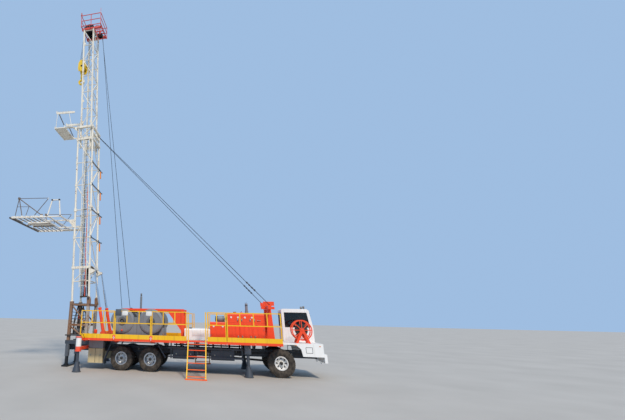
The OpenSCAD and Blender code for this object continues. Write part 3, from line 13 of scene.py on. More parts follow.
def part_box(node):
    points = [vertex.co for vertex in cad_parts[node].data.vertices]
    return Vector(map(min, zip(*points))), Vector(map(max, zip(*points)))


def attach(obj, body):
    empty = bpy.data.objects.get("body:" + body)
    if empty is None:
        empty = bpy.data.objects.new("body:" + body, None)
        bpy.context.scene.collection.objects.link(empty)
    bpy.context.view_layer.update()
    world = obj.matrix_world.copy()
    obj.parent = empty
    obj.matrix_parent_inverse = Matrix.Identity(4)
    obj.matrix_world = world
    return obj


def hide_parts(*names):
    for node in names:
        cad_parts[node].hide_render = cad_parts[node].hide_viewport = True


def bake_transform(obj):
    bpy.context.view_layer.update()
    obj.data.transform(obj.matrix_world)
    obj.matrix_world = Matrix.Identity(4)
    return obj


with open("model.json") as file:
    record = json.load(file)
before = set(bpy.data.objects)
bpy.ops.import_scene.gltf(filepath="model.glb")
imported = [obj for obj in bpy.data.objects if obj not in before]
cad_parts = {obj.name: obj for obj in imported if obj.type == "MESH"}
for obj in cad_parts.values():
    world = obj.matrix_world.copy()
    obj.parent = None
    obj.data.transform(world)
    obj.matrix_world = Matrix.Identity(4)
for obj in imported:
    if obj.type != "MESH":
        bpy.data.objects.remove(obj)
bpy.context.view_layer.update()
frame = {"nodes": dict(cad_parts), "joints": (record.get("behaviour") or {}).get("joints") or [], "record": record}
nodes = frame["nodes"]
joints = {joint["name"]: joint for joint in frame["joints"]}

# Places that the frame gives, in metres
rear_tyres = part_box("rear_tyres_left")
rear_axle_x = (rear_tyres[0].x + rear_tyres[1].x) / 2
foot_pin = Vector(joints["mast_tilt"]["pos_m"])
lean = math.radians(joints["mast_tilt"]["range_deg"][1] - 90)
drum_pin = Vector(joints["main_drum_spin"]["pos_m"])
sand_pin = Vector(joints["sand_drum_spin"]["pos_m"])
reel_pin = Vector(joints["reel_spin"]["pos_m"])
ahead, back, to_right, upward = (1, 0, 0), (-1, 0, 0), (0, -1, 0), (0, 0, 1)


def at(x, y, z):
    """A point of the carrier: x ahead of the rearmost axle, y left of the middle, z above ground."""
    return Vector((rear_axle_x + x, y, z))


def mast_at(u, y, w):
    """A point of the raised mast: u ahead of its front legs, y left of the middle, w up from the foot pin."""
    cosine, sine = math.cos(lean), math.sin(lean)
    return foot_pin + Vector((u * cosine - w * sine, y, u * sine + w * cosine))


def mast_turn(place):
    """The matrix that sets a model made about its own origin at a place on the mast, turned with it."""
    return Matrix.Translation(place) @ Matrix.Rotation(-lean, 4, "Y")


# Finishes


def linear(hex_colour):
    """An sRGB hex colour as linear red, green, blue and alpha."""
    parts = [int(hex_colour[i : i + 2], 16) / 255 for i in (1, 3, 5)]
    return [c / 12.92 if c <= 0.04045 else ((c + 0.055) / 1.055) ** 2.4 for c in parts] + [1.0]


def feed(tree, node, inputs):
    """Sets a node's inputs, each to a value, a hex colour or another node's output.

    By number, Map Range goes from 1 and 2 to 3 and 4, and Mix has 0 for the share of colour 7 over colour 6.
    """
    for key, value in inputs.items():
        if isinstance(value, bpy.types.NodeSocket):
            tree.links.new(value, node.inputs[key])
        else:
            node.inputs[key].default_value = linear(value) if isinstance(value, str) else value


def add(tree, kind, inputs, out=0, **settings):
    """Adds a shader node with its settings and inputs, and gives one of its outputs."""
    node = tree.nodes.new("ShaderNode" + kind)
    for key, value in settings.items():
        setattr(node, key, value)
    feed(tree, node, inputs)
    return node.outputs[out]


def new_material(name):
    """A material with its tree, its shader and the object's own coordinates."""
    material = bpy.data.materials.new(name)
    material.use_nodes = True
    tree = material.node_tree
    return material, tree, tree.nodes["Principled BSDF"], add(tree, "TexCoord", {}, "Object")


def inside(tree, place, low, high):
    """1 inside a box given by two corners, and 0 outside it."""
    low, high = Vector(low), Vector(high)
    offset = add(tree, "VectorMath", {0: place, 1: (low + high) / 2}, operation="SUBTRACT")
    offset = add(tree, "VectorMath", {0: offset}, operation="ABSOLUTE")
    offset = add(tree, "VectorMath", {0: offset, 1: (high - low) / 2}, operation="SUBTRACT")
    largest = add(tree, "SeparateXYZ", {0: offset})
    for axis in (1, 2):
        share = add(tree, "SeparateXYZ", {0: offset}, axis)
        largest = add(tree, "Math", {0: largest, 1: share}, operation="MAXIMUM")
    return add(tree, "Math", {0: largest, 1: 0.0}, operation="LESS_THAN")


def painted_steel(name, colour, zones=(), gloss=0.42, fade="#ffffff", rust=0.0, grime=0.35, dust=0.3):
    """Enamel on steel, with zones, which are boxes of another colour.

    It fades in clouds a metre wide, runs down in streaks of grime, gathers dust on top and rusts in spots of
    about 30 mm.
    """
    material, tree, shader, place = new_material(name)
    clouds = add(tree, "TexNoise", {"Vector": place, "Scale": 0.9, "Detail": 4.0})
    tall = add(tree, "Mapping", {0: place, 3: (11.0, 11.0, 0.7)})
    runs = add(tree, "TexNoise", {"Vector": tall, "Scale": 1.0, "Detail": 6.0, "Roughness": 0.65})
    spots = add(tree, "TexNoise", {"Vector": place, "Scale": 17.0, "Detail": 9.0, "Roughness": 0.7})
    patches = add(tree, "TexNoise", {"Vector": place, "Scale": 1.7, "Detail": 3.0})
    patches = add(tree, "MapRange", {0: patches, 1: 0.42, 2: 0.66, 4: 0.16})
    spots = add(tree, "Math", {0: spots, 1: patches}, operation="ADD")
    rusty = float(rust > 0)
    low, high = 0.78 - 0.24 * rust, 0.86 - 0.22 * rust
    halo = add(tree, "MapRange", {0: spots, 1: low, 2: high, 4: 0.75 * rusty})
    corroded = add(tree, "MapRange", {0: spots, 1: low + 0.06, 2: high + 0.04, 4: rusty})
    up = add(tree, "SeparateXYZ", {0: add(tree, "NewGeometry", {}, "Normal")}, 2)
    up = add(tree, "MapRange", {0: up, 1: 0.5, 2: 0.95})
    settled = add(tree, "MapRange", {0: runs, 1: 0.3, 2: 0.6, 3: 0.4 * dust, 4: dust})
    settled = add(tree, "Math", {0: up, 1: settled}, operation="MULTIPLY")
    layers = [(inside(tree, place, start, end), zone_colour) for start, end, zone_colour in zones]
    layers.append((add(tree, "MapRange", {0: clouds, 1: 0.45, 2: 0.75, 4: 0.22}), fade))
    layers.append((add(tree, "MapRange", {0: runs, 1: 0.52, 2: 0.78, 4: grime}), "#4d4236"))
    layers += [(halo, "#9a6a3c"), (corroded, "#5a3524"), (settled, "#a89a82")]
    base = linear(colour)
    for share, layer_colour in layers:
        base = add(tree, "Mix", {0: share, 6: base, 7: layer_colour}, 2, data_type="RGBA")
    rough = add(tree, "MapRange", {0: clouds, 1: 0.3, 2: 0.7, 3: gloss - 0.07, 4: gloss + 0.1})
    rough = add(tree, "Math", {0: rough, 1: settled}, operation="ADD")
    rough = add(tree, "Math", {0: halo, 1: 0.4, 2: rough}, operation="MULTIPLY_ADD", use_clamp=True)
    # The orange peel of sprayed paint is about 4 mm wide
    peel = add(tree, "TexNoise", {"Vector": place, "Scale": 240.0, "Detail": 1.0})
    height = add(tree, "Math", {0: spots, 1: 0.9}, operation="MULTIPLY")
    height = add(tree, "Math", {0: peel, 1: 0.12, 2: height}, operation="MULTIPLY_ADD")
    bump = add(tree, "Bump", {"Strength": 0.12 + 0.3 * rust, "Distance": 0.004, "Height": height})
    feed(tree, shader, {
        "Base Color": base, "Roughness": rough, "Normal": bump,
        "Coat Weight": 0.15, "Coat Roughness": 0.25,
    })
    return material


def bare_metal(name, colour, roughness, brushed=0.0, stain=0.2):
    """Bare or polished metal with faint handling marks and brown stains; a brushed one has finer lines."""
    material, tree, shader, place = new_material(name)
    clouds = add(tree, "TexNoise", {"Vector": place, "Scale": 6.0, "Detail": 6.0})
    stained = add(tree, "MapRange", {0: clouds, 1: 0.5, 2: 0.8, 4: stain})
    base = add(tree, "Mix", {0: stained, 6: colour, 7: "#5b4a38"}, 2, data_type="RGBA")
    fine = add(tree, "TexNoise", {"Vector": place, "Scale": 90.0, "Detail": 3.0})
    rough = add(tree, "MapRange", {0: fine, 1: 0.3, 2: 0.7, 3: roughness - 0.06, 4: roughness + 0.14})
    bump = add(tree, "Bump", {"Strength": 0.08 + brushed, "Distance": 0.001, "Height": fine})
    feed(tree, shader, {"Base Color": base, "Roughness": rough, "Normal": bump, "Metallic": 1.0})
    return material


def moulded(name, colour, roughness=0.5, dust=0.25, scale=12.0):
    """Moulded rubber or plastic: even colour with a fine matt grain, and pale dust in clouds."""
    material, tree, shader, place = new_material(name)
    clouds = add(tree, "TexNoise", {"Vector": place, "Scale": scale, "Detail": 7.0, "Roughness": 0.65})
    dusty = add(tree, "MapRange", {0: clouds, 1: 0.4, 2: 0.78, 3: 0.1 * dust, 4: dust})
    base = add(tree, "Mix", {0: dusty, 6: colour, 7: "#83786a"}, 2, data_type="RGBA")
    grain = add(tree, "TexNoise", {"Vector": place, "Scale": 260.0, "Detail": 2.0})
    bump = add(tree, "Bump", {"Strength": 0.12, "Distance": 0.0015, "Height": grain})
    feed(tree, shader, {"Base Color": base, "Normal": bump, "Roughness": roughness})
    return material


def wire_rope():
    """Greased steel wire rope: dark, with pale strands that wind round it every 40 mm."""
    material, tree, shader, place = new_material("greased_wire_rope")
    wave = {"Vector": place, "Scale": 7.0, "Distortion": 0.6}
    strands = add(tree, "TexWave", wave, "Fac", bands_direction="DIAGONAL")
    base = add(tree, "Mix", {0: strands, 6: "#1c1d20", 7: "#36383c"}, 2, data_type="RGBA")
    bump = add(tree, "Bump", {"Strength": 0.5, "Distance": 0.003, "Height": strands})
    feed(tree, shader, {"Base Color": base, "Normal": bump, "Metallic": 0.7, "Roughness": 0.45})
    return material


def tinted_glass():
    """Tinted safety glass of a cab: dark, smooth, with a dusty film."""
    material, tree, shader, place = new_material("tinted_safety_glass")
    film = add(tree, "TexNoise", {"Vector": place, "Scale": 3.0, "Detail": 6.0})
    dusty = add(tree, "MapRange", {0: film, 1: 0.45, 2: 0.8, 4: 0.3})
    base = add(tree, "Mix", {0: dusty, 6: "#10171c", 7: "#3d4445"}, 2, data_type="RGBA")
    rough = add(tree, "MapRange", {0: film, 1: 0.4, 2: 0.8, 3: 0.04, 4: 0.25})
    feed(tree, shader, {"Base Color": base, "Roughness": rough, "IOR": 1.52, "Alpha": 0.78})
    return material


def lamp_lens(name, colour):
    """Ribbed lamp lens of clear or coloured polycarbonate, with ribs 30 mm apart."""
    material, tree, shader, place = new_material(name)
    ribs = add(tree, "TexWave", {"Vector": place, "Scale": 10.0}, "Fac", bands_direction="Y")
    pale = add(tree, "Math", {0: ribs, 1: 0.35}, operation="MULTIPLY")
    base = add(tree, "Mix", {0: pale, 6: colour, 7: "#f4f4f0"}, 2, data_type="RGBA")
    bump = add(tree, "Bump", {"Strength": 0.3, "Distance": 0.002, "Height": ribs})
    feed(tree, shader, {"Base Color": base, "Normal": bump, "Roughness": 0.12})
    return material


def concrete():
    """Floated concrete: matt and pale, with broad damp patches and fine grit."""
    material, tree, shader, place = new_material("floated_concrete")
    patches = add(tree, "TexNoise", {"Vector": place, "Scale": 0.35, "Detail": 5.0})
    tone = add(tree, "ValToRGB", {"Fac": patches})
    ramp = tone.node.color_ramp
    ramp.elements[0].position, ramp.elements[1].position = 0.3, 0.7
    ramp.elements[0].color, ramp.elements[1].color = linear("#aaa7a1"), linear("#b3b0aa")
    grit = add(tree, "TexNoise", {"Vector": place, "Scale": 90.0, "Detail": 3.0})
    bump = add(tree, "Bump", {"Strength": 0.15, "Distance": 0.004, "Height": grit})
    feed(tree, shader, {"Base Color": tone, "Normal": bump, "Roughness": 0.9})
    return material


def deck_plate():
    """Painted chequer plate: raised drops about 30 mm apart, worn grey where people tread."""
    material, tree, shader, place = new_material("painted_chequer_plate")
    worn = add(tree, "TexNoise", {"Vector": place, "Scale": 2.3, "Detail": 7.0, "Roughness": 0.6})
    share = add(tree, "MapRange", {0: worn, 1: 0.4, 2: 0.7})
    base = add(tree, "Mix", {0: share, 6: "#4a4d50", 7: "#7d7a72"}, 2, data_type="RGBA")
    drops = add(tree, "TexVoronoi", {"Vector": place, "Scale": 33.0}, "Distance", feature="F1")
    raised = add(tree, "MapRange", {0: drops, 1: 0.25, 2: 0.4, 3: 1.0, 4: 0.0})
    bump = add(tree, "Bump", {"Strength": 0.6, "Distance": 0.003, "Height": raised})
    rough = add(tree, "MapRange", {0: worn, 1: 0.3, 2: 0.7, 3: 0.45, 4: 0.7})
    feed(tree, shader, {"Base Color": base, "Normal": bump, "Roughness": rough})
    return material


# Modelling


def select(pieces):
    """Selects pieces alone, and makes the first of them active."""
    bpy.ops.object.select_all(action="DESELECT")
    for piece in pieces:
        piece.select_set(True)
    bpy.context.view_layer.objects.active = pieces[0]


def settle(piece):
    """Puts a new piece's place, turn and size into its mesh."""
    select([piece])
    bpy.ops.object.transform_apply(location=True, rotation=True, scale=True)
    return piece


def rounded(piece, width, segments=2, angle=40):
    """Rounds a piece's edges that are sharper than an angle in degrees."""
    select([piece])
    bpy.ops.object.modifier_add(type="BEVEL")
    bevel = piece.modifiers[-1]
    bevel.width, bevel.segments = width, segments
    bevel.limit_method, bevel.angle_limit = "ANGLE", math.radians(angle)
    bpy.ops.object.modifier_apply(modifier=bevel.name)
    return piece


def block(low, high, edge=0.004, segments=2):
    """A bar or box between two corners, with rounded edges."""
    low, high = Vector(low), Vector(high)
    bpy.ops.object.select_all(action="DESELECT")
    bpy.ops.mesh.primitive_cube_add(size=1, location=(low + high) / 2, scale=high - low)
    piece = settle(bpy.context.object)
    return rounded(piece, edge, segments) if edge else piece


def tube(start, end, radius, sides=12, edge=0.0, tip=None):
    """A round bar from start to end; tip is its radius at the end, where that differs."""
    start, end = Vector(start), Vector(end)
    axis = end - start
    turn = axis.to_track_quat("Z", "Y").to_euler()
    bpy.ops.object.select_all(action="DESELECT")
    bpy.ops.mesh.primitive_cone_add(
        vertices=sides, radius1=radius, radius2=radius if tip is None else tip, depth=axis.length,
        location=(start + end) / 2, rotation=turn,
    )
    piece = settle(bpy.context.object)
    return rounded(piece, edge, 1, 50) if edge else piece


def turned(profile, steps=32):
    """A solid of revolution about Z, from [radius, height] points."""
    bpy.ops.object.select_all(action="DESELECT")
    bpy.ops.mesh.primitive_plane_add(size=0.01)
    piece = bpy.context.object
    bpy.ops.object.mode_set(mode="EDIT")
    bpy.ops.mesh.merge(type="CENTER")
    bpy.ops.transform.translate(value=(profile[0][0], 0, profile[0][1]))
    for (r, z), (next_r, next_z) in zip(profile, profile[1:]):
        bpy.ops.mesh.extrude_vertices_move(TRANSFORM_OT_translate={"value": (next_r - r, 0, next_z - z)})
    bpy.ops.mesh.select_all(action="SELECT")
    bpy.ops.mesh.spin(steps=steps, angle=2 * math.pi, center=(0, 0, 0), axis=(0, 0, 1))
    bpy.ops.mesh.select_all(action="SELECT")
    bpy.ops.mesh.remove_doubles(threshold=0.0002)
    bpy.ops.mesh.normals_make_consistent(inside=False)
    bpy.ops.object.mode_set(mode="OBJECT")
    return piece


def hoop(radius, thickness, steps=48, sides=6):
    """A ring of round wire about Z."""
    turns = [2 * math.pi * i / sides for i in range(sides + 1)]
    return turned([(radius + thickness * math.cos(a), thickness * math.sin(a)) for a in turns], steps)


def pipe(points, radius, resolution=2):
    """A hose, cable or bent tube along points."""
    curve = bpy.data.curves.new("route", "CURVE")
    curve.dimensions, curve.use_fill_caps = "3D", True
    curve.bevel_depth, curve.bevel_resolution = radius, resolution
    spline = curve.splines.new("NURBS")
    spline.points.add(len(points) - 1)
    for point, place in zip(spline.points, points):
        point.co = (*place, 1)
    spline.use_endpoint_u, spline.order_u, spline.resolution_u = True, 3, 5
    piece = bpy.data.objects.new("route", curve)
    bpy.context.scene.collection.objects.link(piece)
    select([piece])
    bpy.ops.object.convert(target="MESH")
    return bpy.context.object


def moved(pieces, matrix):
    """Moves or turns pieces inside their meshes."""
    for piece in pieces:
        piece.data.transform(matrix)
    return pieces


def copied(model, matrix):
    """A copy with its own mesh, moved by a matrix."""
    copy = model.copy()
    copy.data = model.data.copy()
    copy.data.transform(matrix)
    bpy.context.scene.collection.objects.link(copy)
    return copy


def copies(model, matrices):
    """A copy of the model at every matrix; the model itself goes."""
    made = [copied(model, matrix) for matrix in matrices]
    bpy.data.objects.remove(model)
    return made


def mirrored(pieces):
    """The pieces and their mirror images across the vehicle's middle."""
    made = [copied(piece, Matrix.Scale(-1, 4, (0, 1, 0))) for piece in pieces]
    for piece in made:
        piece.data.flip_normals()
    return pieces + made


def painted(parts, finish):
    """Gives parts a finish, by its name in paint, before they are joined with others."""
    for part in parts:
        part.data.materials.clear()
        part.data.materials.append(paint[finish])
    return parts


def join(name, parts, body, finish=None):
    """Makes one named piece of parts, in a finish where one is named, which rides on a body where one is given."""
    if finish:
        painted(parts, finish)
    select(parts)
    if len(parts) > 1:
        bpy.ops.object.join()
    piece = bpy.context.object
    piece.name = piece.data.name = name
    bpy.ops.object.shade_smooth_by_angle(angle=math.radians(35))
    if body:
        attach(piece, body)
    return piece


def ring(count, radius, start=0.0):
    """Matrices that set a model round the Z axis, on a circle."""
    turns = (Matrix.Rotation(start + 2 * math.pi * i / count, 4, "Z") for i in range(count))
    return [turn @ Matrix.Translation((radius, 0, 0)) for turn in turns]


def facing(place, direction):
    """The matrix that turns a model made along +Z to a direction and sets it at a place."""
    return Matrix.Translation(place) @ Vector(direction).to_track_quat("Z", "Y").to_matrix().to_4x4()


def as_one(parts):
    """Joins parts into the first of them."""
    select(parts)
    bpy.ops.object.join()
    return bpy.context.object


def bolt(size):
    """A hexagon bolt head on its washer, standing on z = 0."""
    head = tube((0, 0, 0.002), (0, 0, 0.002 + size * 0.7), size, 6, size * 0.08)
    return as_one([head, tube((0, 0, 0), (0, 0, 0.003), size * 1.35, 12)])


def bolts(places, direction, size):
    """Zinc plated bolts at places, all facing one way."""
    return painted(copies(bolt(size), [facing(place, direction) for place in places]), "zinc")


def around(centre, radius, count, phase=0.0):
    """Places on an upright circle that faces the side, the first one at a share of their spacing."""
    turns = [2 * math.pi * (i + phase) / count for i in range(count)]
    return [centre + Vector((radius * math.cos(a), 0, radius * math.sin(a))) for a in turns]


def blocks(spans, edge=0.004, segments=2):
    """Blocks of the carrier. A span is the low corner's x, y and z, and the high corner's."""
    return [block(at(*span[:3]), at(*span[3:]), edge, segments) for span in spans]


def tubes(spans, radius, sides=12, edge=0.0):
    """Round bars of the carrier. A span is the start's x, y and z, and the end's."""
    return [tube(at(*span[:3]), at(*span[3:]), radius, sides, edge) for span in spans]


def band(inner, outer, width, steps, chamfer=0.002):
    """A flat ring about Z that stands on z = 0, its outer edges broken by a chamfer."""
    return turned([(inner, 0), (outer, chamfer), (outer, width - chamfer), (inner, width), (inner, 0)], steps)


# The finishes of this rig

yellow, yellow_fade = "#f2bd0b", "#f7d45a"
orange_red = "#f04a1a"
enamel_white = "#eceeee"
paint = {
    # Handrails and ladders: safety yellow, scuffed and a little rusty at the welds
    "yellow": painted_steel("safety_yellow_enamel", yellow, fade=yellow_fade, rust=0.25, grime=0.4, dust=0.2),
    # Hood, walkways and stands: orange red that has paled in the sun
    "red": painted_steel("orange_red_enamel", orange_red, fade="#f26a3c", rust=0.1, grime=0.3, dust=0.25),
    # Cab and tank: clean white with thin streaks of grime
    "white": painted_steel("white_enamel", enamel_white, grime=0.22, dust=0.25),
    # Mast: chalky white that has gone cream, with rust and grease along it
    "mast_white": painted_steel(
        "chalky_white_enamel", "#e6e2d4", fade="#f4f2ea", rust=0.55, grime=0.75, gloss=0.55,
    ),
    # Frame rails and boxes: dusty blue grey
    "chassis": painted_steel("blue_grey_enamel", "#39424e", fade="#4c5561", grime=0.4, dust=0.6, gloss=0.5),
    # Mudguards: grey, splashed with mud
    "guard": painted_steel("grey_mudguard_enamel", "#46505c", fade="#5a6470", grime=0.5, dust=0.6, gloss=0.5),
    # Drum covers: machine grey with oil runs
    "drum": painted_steel("machine_grey_enamel", "#7b8289", fade="#8e949a", grime=0.5, dust=0.4),
    # Drums and engine: dark and oily
    "machine": painted_steel("oily_cast_iron", "#4c5054", grime=0.8, dust=0.3, rust=0.3, gloss=0.4),
    # Axles and knuckles: black under road dust
    "axle": painted_steel("black_axle_enamel", "#26282b", fade="#3a3b3c", grime=0.5, dust=0.7, gloss=0.6),
    # Crown: red that has faded to pink
    "crown": painted_steel("faded_red_enamel", "#cf4a40", fade="#dd7d74", rust=0.35, grime=0.5, gloss=0.55),
    # Travelling block: strong yellow with black grease
    "block": painted_steel("greasy_yellow_enamel", "#e9c41c", fade="#f0d760", rust=0.3, grime=0.8, dust=0.2),
    # Mast base: brown primer that rusts through
    "rust": painted_steel(
        "rusted_brown_primer", "#6b4a36", fade="#8a6a52", rust=0.9, grime=0.9, dust=0.5, gloss=0.7,
    ),
    # Board undersides and clamps: dark weathered steel
    "dark_paint": painted_steel(
        "dark_weathered_steel", "#33302e", fade="#4a4642", rust=0.5, grime=0.6, gloss=0.6,
    ),
    # Front rims: white enamel under road dust
    "rim_white": painted_steel("white_rim_enamel", "#dfe1e0", grime=0.3, dust=0.5, rust=0.2),
    # Seat, dash and steering wheel: black plastic trim
    "cab_dark": moulded("black_cab_trim", "#24262a", 0.6),
    # Hoses, gaskets and mud flaps: black rubber
    "rubber": moulded("black_hose_rubber", "#1c1c1d", 0.55),
    # Hose up the mast: salmon red rubber
    "red_hose": moulded("salmon_red_hose", "#d8503c", 0.5),
    # Tyres: matt black rubber, grey with road dust
    "tyre": moulded("tyre_rubber", "#1b1a19", 0.82, 0.5, 7.0),
    # Sheaves, guides and pins: dark oiled steel
    "dark_steel": bare_metal("oiled_dark_steel", "#44474b", 0.42, 0.1, 0.4),
    # Cylinder rods: hard chrome, bright
    "chrome": bare_metal("hard_chrome", "#d5d8dc", 0.12, 0.0, 0.08),
    # Rear rims: polished aluminium
    "aluminium": bare_metal("polished_aluminium", "#c9ccd0", 0.28, 0.05, 0.25),
    # Bolts and clips: dull zinc
    "zinc": bare_metal("dull_zinc_plate", "#a9a79c", 0.4, 0.0, 0.4),
    "rope": wire_rope(),
    "glass": tinted_glass(),
    "clear_lens": lamp_lens("clear_lamp_lens", "#d8dcdc"),
    "amber_lens": lamp_lens("amber_lamp_lens", "#d97912"),
    "red_lens": lamp_lens("red_lamp_lens", "#a31812"),
    "deck": deck_plate(),
}


def ladder_paint():
    """The ladders are yellow at their stiles and orange red at rungs and foot."""
    low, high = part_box("ladders")
    stile, foot_top = 0.09, 0.055
    zones = [
        ((low.x + stile, low.y - 1, -1), (high.x - stile, high.y + 1, 3), orange_red),
        ((low.x - 1, low.y - 1, -1), (high.x + 1, high.y + 1, foot_top), orange_red),
    ]
    return painted_steel("ladder_enamel", yellow, zones, fade=yellow_fade, rust=0.25, grime=0.4)


def jack_paint():
    """Rear jack sleeves are white over red collars and beam; the rest of the housings is blue grey."""
    start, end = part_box("rear_jack_left")[0].x - 0.2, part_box("rear_jack_right")[1].x + 0.2
    zones = [((start, -3, 0.8), (end, 3, 1.7), orange_red), ((start, -3, 1.12), (end, 3, 1.5), "#e9eae8")]
    return painted_steel("jack_enamel", "#4a525c", zones, rust=0.15, grime=0.4)


def box_paint():
    """The cabinet behind the rear wheels is cream below and grey above; the other boxes are blue grey."""
    start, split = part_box("side_boxes")[0].x - 0.1, 0.98
    end = start + 0.9
    zones = [((start, -2, 0.2), (end, 2, split), "#cbbd93"), ((start, -2, split), (end, 2, 2), "#868d92")]
    return painted_steel("box_enamel", "#39424e", zones, fade="#7c828a", rust=0.15, grime=0.5, dust=0.5)


def base_paint():
    """The mast's base has rusty brown rear posts, grey front posts and orange red cylinder brackets."""
    zones = [
        (at(-2.26, -0.72, 1.4), at(-2.05, 0.72, 3.02), "#a7a198"),
        (at(-1.5, -1.2, 1.45), at(-0.9, 1.2, 1.86), orange_red),
    ]
    return painted_steel(
        "mast_base_enamel", "#826551", zones, fade="#b3a08c", rust=0.8, grime=0.95, dust=0.5, gloss=0.7,
    )


def cab_paint():
    """The cab is white, and its two roof lamps sit in black cups."""
    zones = [(at(9.0, 0.25, 3.098), at(9.3, 1.15, 3.4), "#202224")]
    return painted_steel("cab_enamel", enamel_white, zones, grime=0.22, dust=0.25)


def guide_paint():
    """The rope guides are dark, and the tube lamps that hang from them are orange."""
    below, above = Vector((-0.1, -0.06, -0.3)), Vector((0.1, 0.06, 0.24))
    zones = [(place + below, place + above, "#e58a1f") for place in lamp_places]
    return painted_steel("guide_enamel", "#2b2d2f", zones, fade="#454545", rust=0.2, grime=0.4)


def tubing_board_paint():
    """The tubing board is white, with rusty brown braces, grey fingers and a dark rear edge."""
    low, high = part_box("tubing_board")
    floor = board_top + 0.07
    zones = [
        ((low.x - 0.1, -2, floor), (at(-4.72, 0, 0).x, 2, high.z + 0.1), "#5b4a3d"),
        ((low.x + 0.1, -1.58, low.z - 0.1), (at(-5.1, 0, 0).x, 1.58, board_top - 0.03), "#6f6a62"),
        ((low.x - 0.1, low.y - 0.1, low.z - 0.1), (low.x + 0.12, high.y + 0.1, floor), "#37332f"),
    ]
    return painted_steel(
        "tubing_board_enamel", "#e9e6dc", zones, fade="#f4f2ea", rust=0.5, grime=0.6, gloss=0.55,
    )


# Slots whose finish has another name than the slot
slot_finish = {
    "axle_black": "axle", "block_yellow": "block", "crown_red": "crown", "deck_grey": "deck",
    "drum_grey": "drum", "guard_grey": "guard", "machine_grey": "machine", "rim_steel": "aluminium",
}
# The tubing board's floor over ground
board_top = 7.91
# Levels of the mast's lower section above the foot pin, and the lamps that hang under its four rope guides
collars = (1.75, 3.45, 5.15, 6.75, 8.25, 9.85, 10.79)
lamp_places = [mast_at(0.102, 0.72, level - 0.37) for level in collars[1:5]]


def finish_nodes():
    """Gives every node of the frame the finish of its slot, and its own where it has several colours."""
    own = {
        "ladders": ladder_paint(), "jack_housings": jack_paint(), "side_boxes": box_paint(),
        "mast_base": base_paint(), "cab_shell": cab_paint(), "rope_guides": guide_paint(),
        "tubing_board": tubing_board_paint(),
    }
    for part in frame["record"]["subparts"]:
        node, slot = nodes[part["node"]], part["material_slot"]
        node.data.materials.clear()
        node.data.materials.append(own.get(part["node"], paint[slot_finish.get(slot, slot)]))


# Wheels

wheel_sides = {"left": 1, "right": -1}
bead_r, twin_pitch = 0.285, 0.34
# Lugs in a row, the share of their spacing that they fill, and their slant
lug_count, lug_fill, lug_slant = 42, 0.62, math.radians(16)
# Shares of a tyre's width: what the rows' middles span, and what their lugs take together
rows_span, rows_fill = 0.8, 0.576
nut_count, nut_circle_r = 10, 0.158
# Tyre section from bead to tread, as [share of the half width, share of the height]
tyre_wall = [
    (0.62, 0.0), (0.7, 0.035), (0.82, 0.1), (0.93, 0.24), (0.99, 0.42), (1.0, 0.52), (0.985, 0.66),
    (0.95, 0.76), (0.955, 0.78), (0.93, 0.84), (0.88, 0.885), (0.8, 0.915), (0.4, 0.945),
]


def wheel_place(centre, side):
    """The matrix that sets a wheel made about Z, outer face up, on its axle."""
    return Matrix.Translation(centre) @ Matrix.Rotation(-side * math.pi / 2, 4, "X")


def tyre_ring(radius, width, rows):
    """A tyre about Z: its walls, and lugs in rows, with shoulder lugs next to the outermost."""
    height = radius - bead_r
    half = [(bead_r + h * height, w * width / 2) for w, h in tyre_wall]
    wall = [(r, -z) for r, z in half] + [(r, z) for r, z in reversed(half)]
    parts = [turned(wall + wall[:1], 72)]
    base = bead_r + tyre_wall[-1][1] * height - 0.024
    lug_long = 2 * math.pi * radius / lug_count * lug_fill
    lug_wide = width * rows_fill / (rows - 1)
    for row in range(rows):
        z = (row / (rows - 1) - 0.5) * width * rows_span
        outermost = row in (0, rows - 1)
        top = radius - 0.006 * outermost
        reach = lug_wide * (1.15 if outermost else 1)
        lug = block((base, -lug_long / 2, z - reach / 2), (top, lug_long / 2, z + reach / 2), 0)
        taper_top(lug, top, 0.86, z)
        turn = Matrix.Rotation(lug_slant if row % 2 else -lug_slant, 4, "X")
        moved([lug], Matrix.Translation((0, 0, z)) @ turn @ Matrix.Translation((0, 0, -z)))
        parts += copies(lug, ring(lug_count, 0, (row % 2) * math.pi / lug_count))
    for side in (-1, 1):
        shoulder = shoulder_lug(radius, width, height, lug_long, side)
        parts += copies(shoulder, ring(lug_count, 0, math.pi / lug_count * (rows % 2)))
    return parts


def taper_top(lug, top, share, z):
    """Draws a lug's top face in, as its mould needs."""
    for vertex in lug.data.vertices:
        if vertex.co.x > top - 0.001:
            vertex.co.y *= share
            vertex.co.z = z + (vertex.co.z - z) * share


def shoulder_lug(radius, width, height, length, side):
    """A lug that runs from the tread's edge down the tyre's wall."""
    inner, outer = sorted((side * width * rows_span / 2, side * width * 0.495))
    low, high = bead_r + height * 0.74, radius - 0.012
    lug = block((low, -length / 2, inner), (high, length / 2, outer), 0)
    for vertex in lug.data.vertices:
        if abs(vertex.co.z) > width * 0.49 and vertex.co.x > high - 0.001:
            vertex.co.x -= height * 0.1
            vertex.co.z -= side * width * 0.015
            vertex.co.y *= 0.9
    return lug


def tyre(name, node, body, side, rings, rows):
    """Replaces a node's tyres by ones with lugs; a twin wheel has two rings."""
    low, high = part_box(node)
    parts = tyre_ring((high.z - low.z) / 2, high.y - low.y - twin_pitch * (rings - 1), rows)
    if rings == 2:
        shifts = [Matrix.Translation((0, 0, z)) for z in (-twin_pitch / 2, twin_pitch / 2)]
        parts = copies(as_one(parts), shifts)
    piece = join(name, moved(parts, wheel_place((low + high) / 2, side)), body, "tyre")
    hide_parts(node)


def wheel_nut():
    """A hexagon nut on its washer, with the stud's end, standing on z = 0."""
    nut = tube((0, 0, 0), (0, 0, 0.024), 0.019, 6, 0.002)
    washer = tube((0, 0, 0), (0, 0, 0.004), 0.024, 12)
    stud = tube((0, 0, 0.02), (0, 0, 0.04), 0.01, 8, 0.002)
    return as_one([nut, washer, stud])


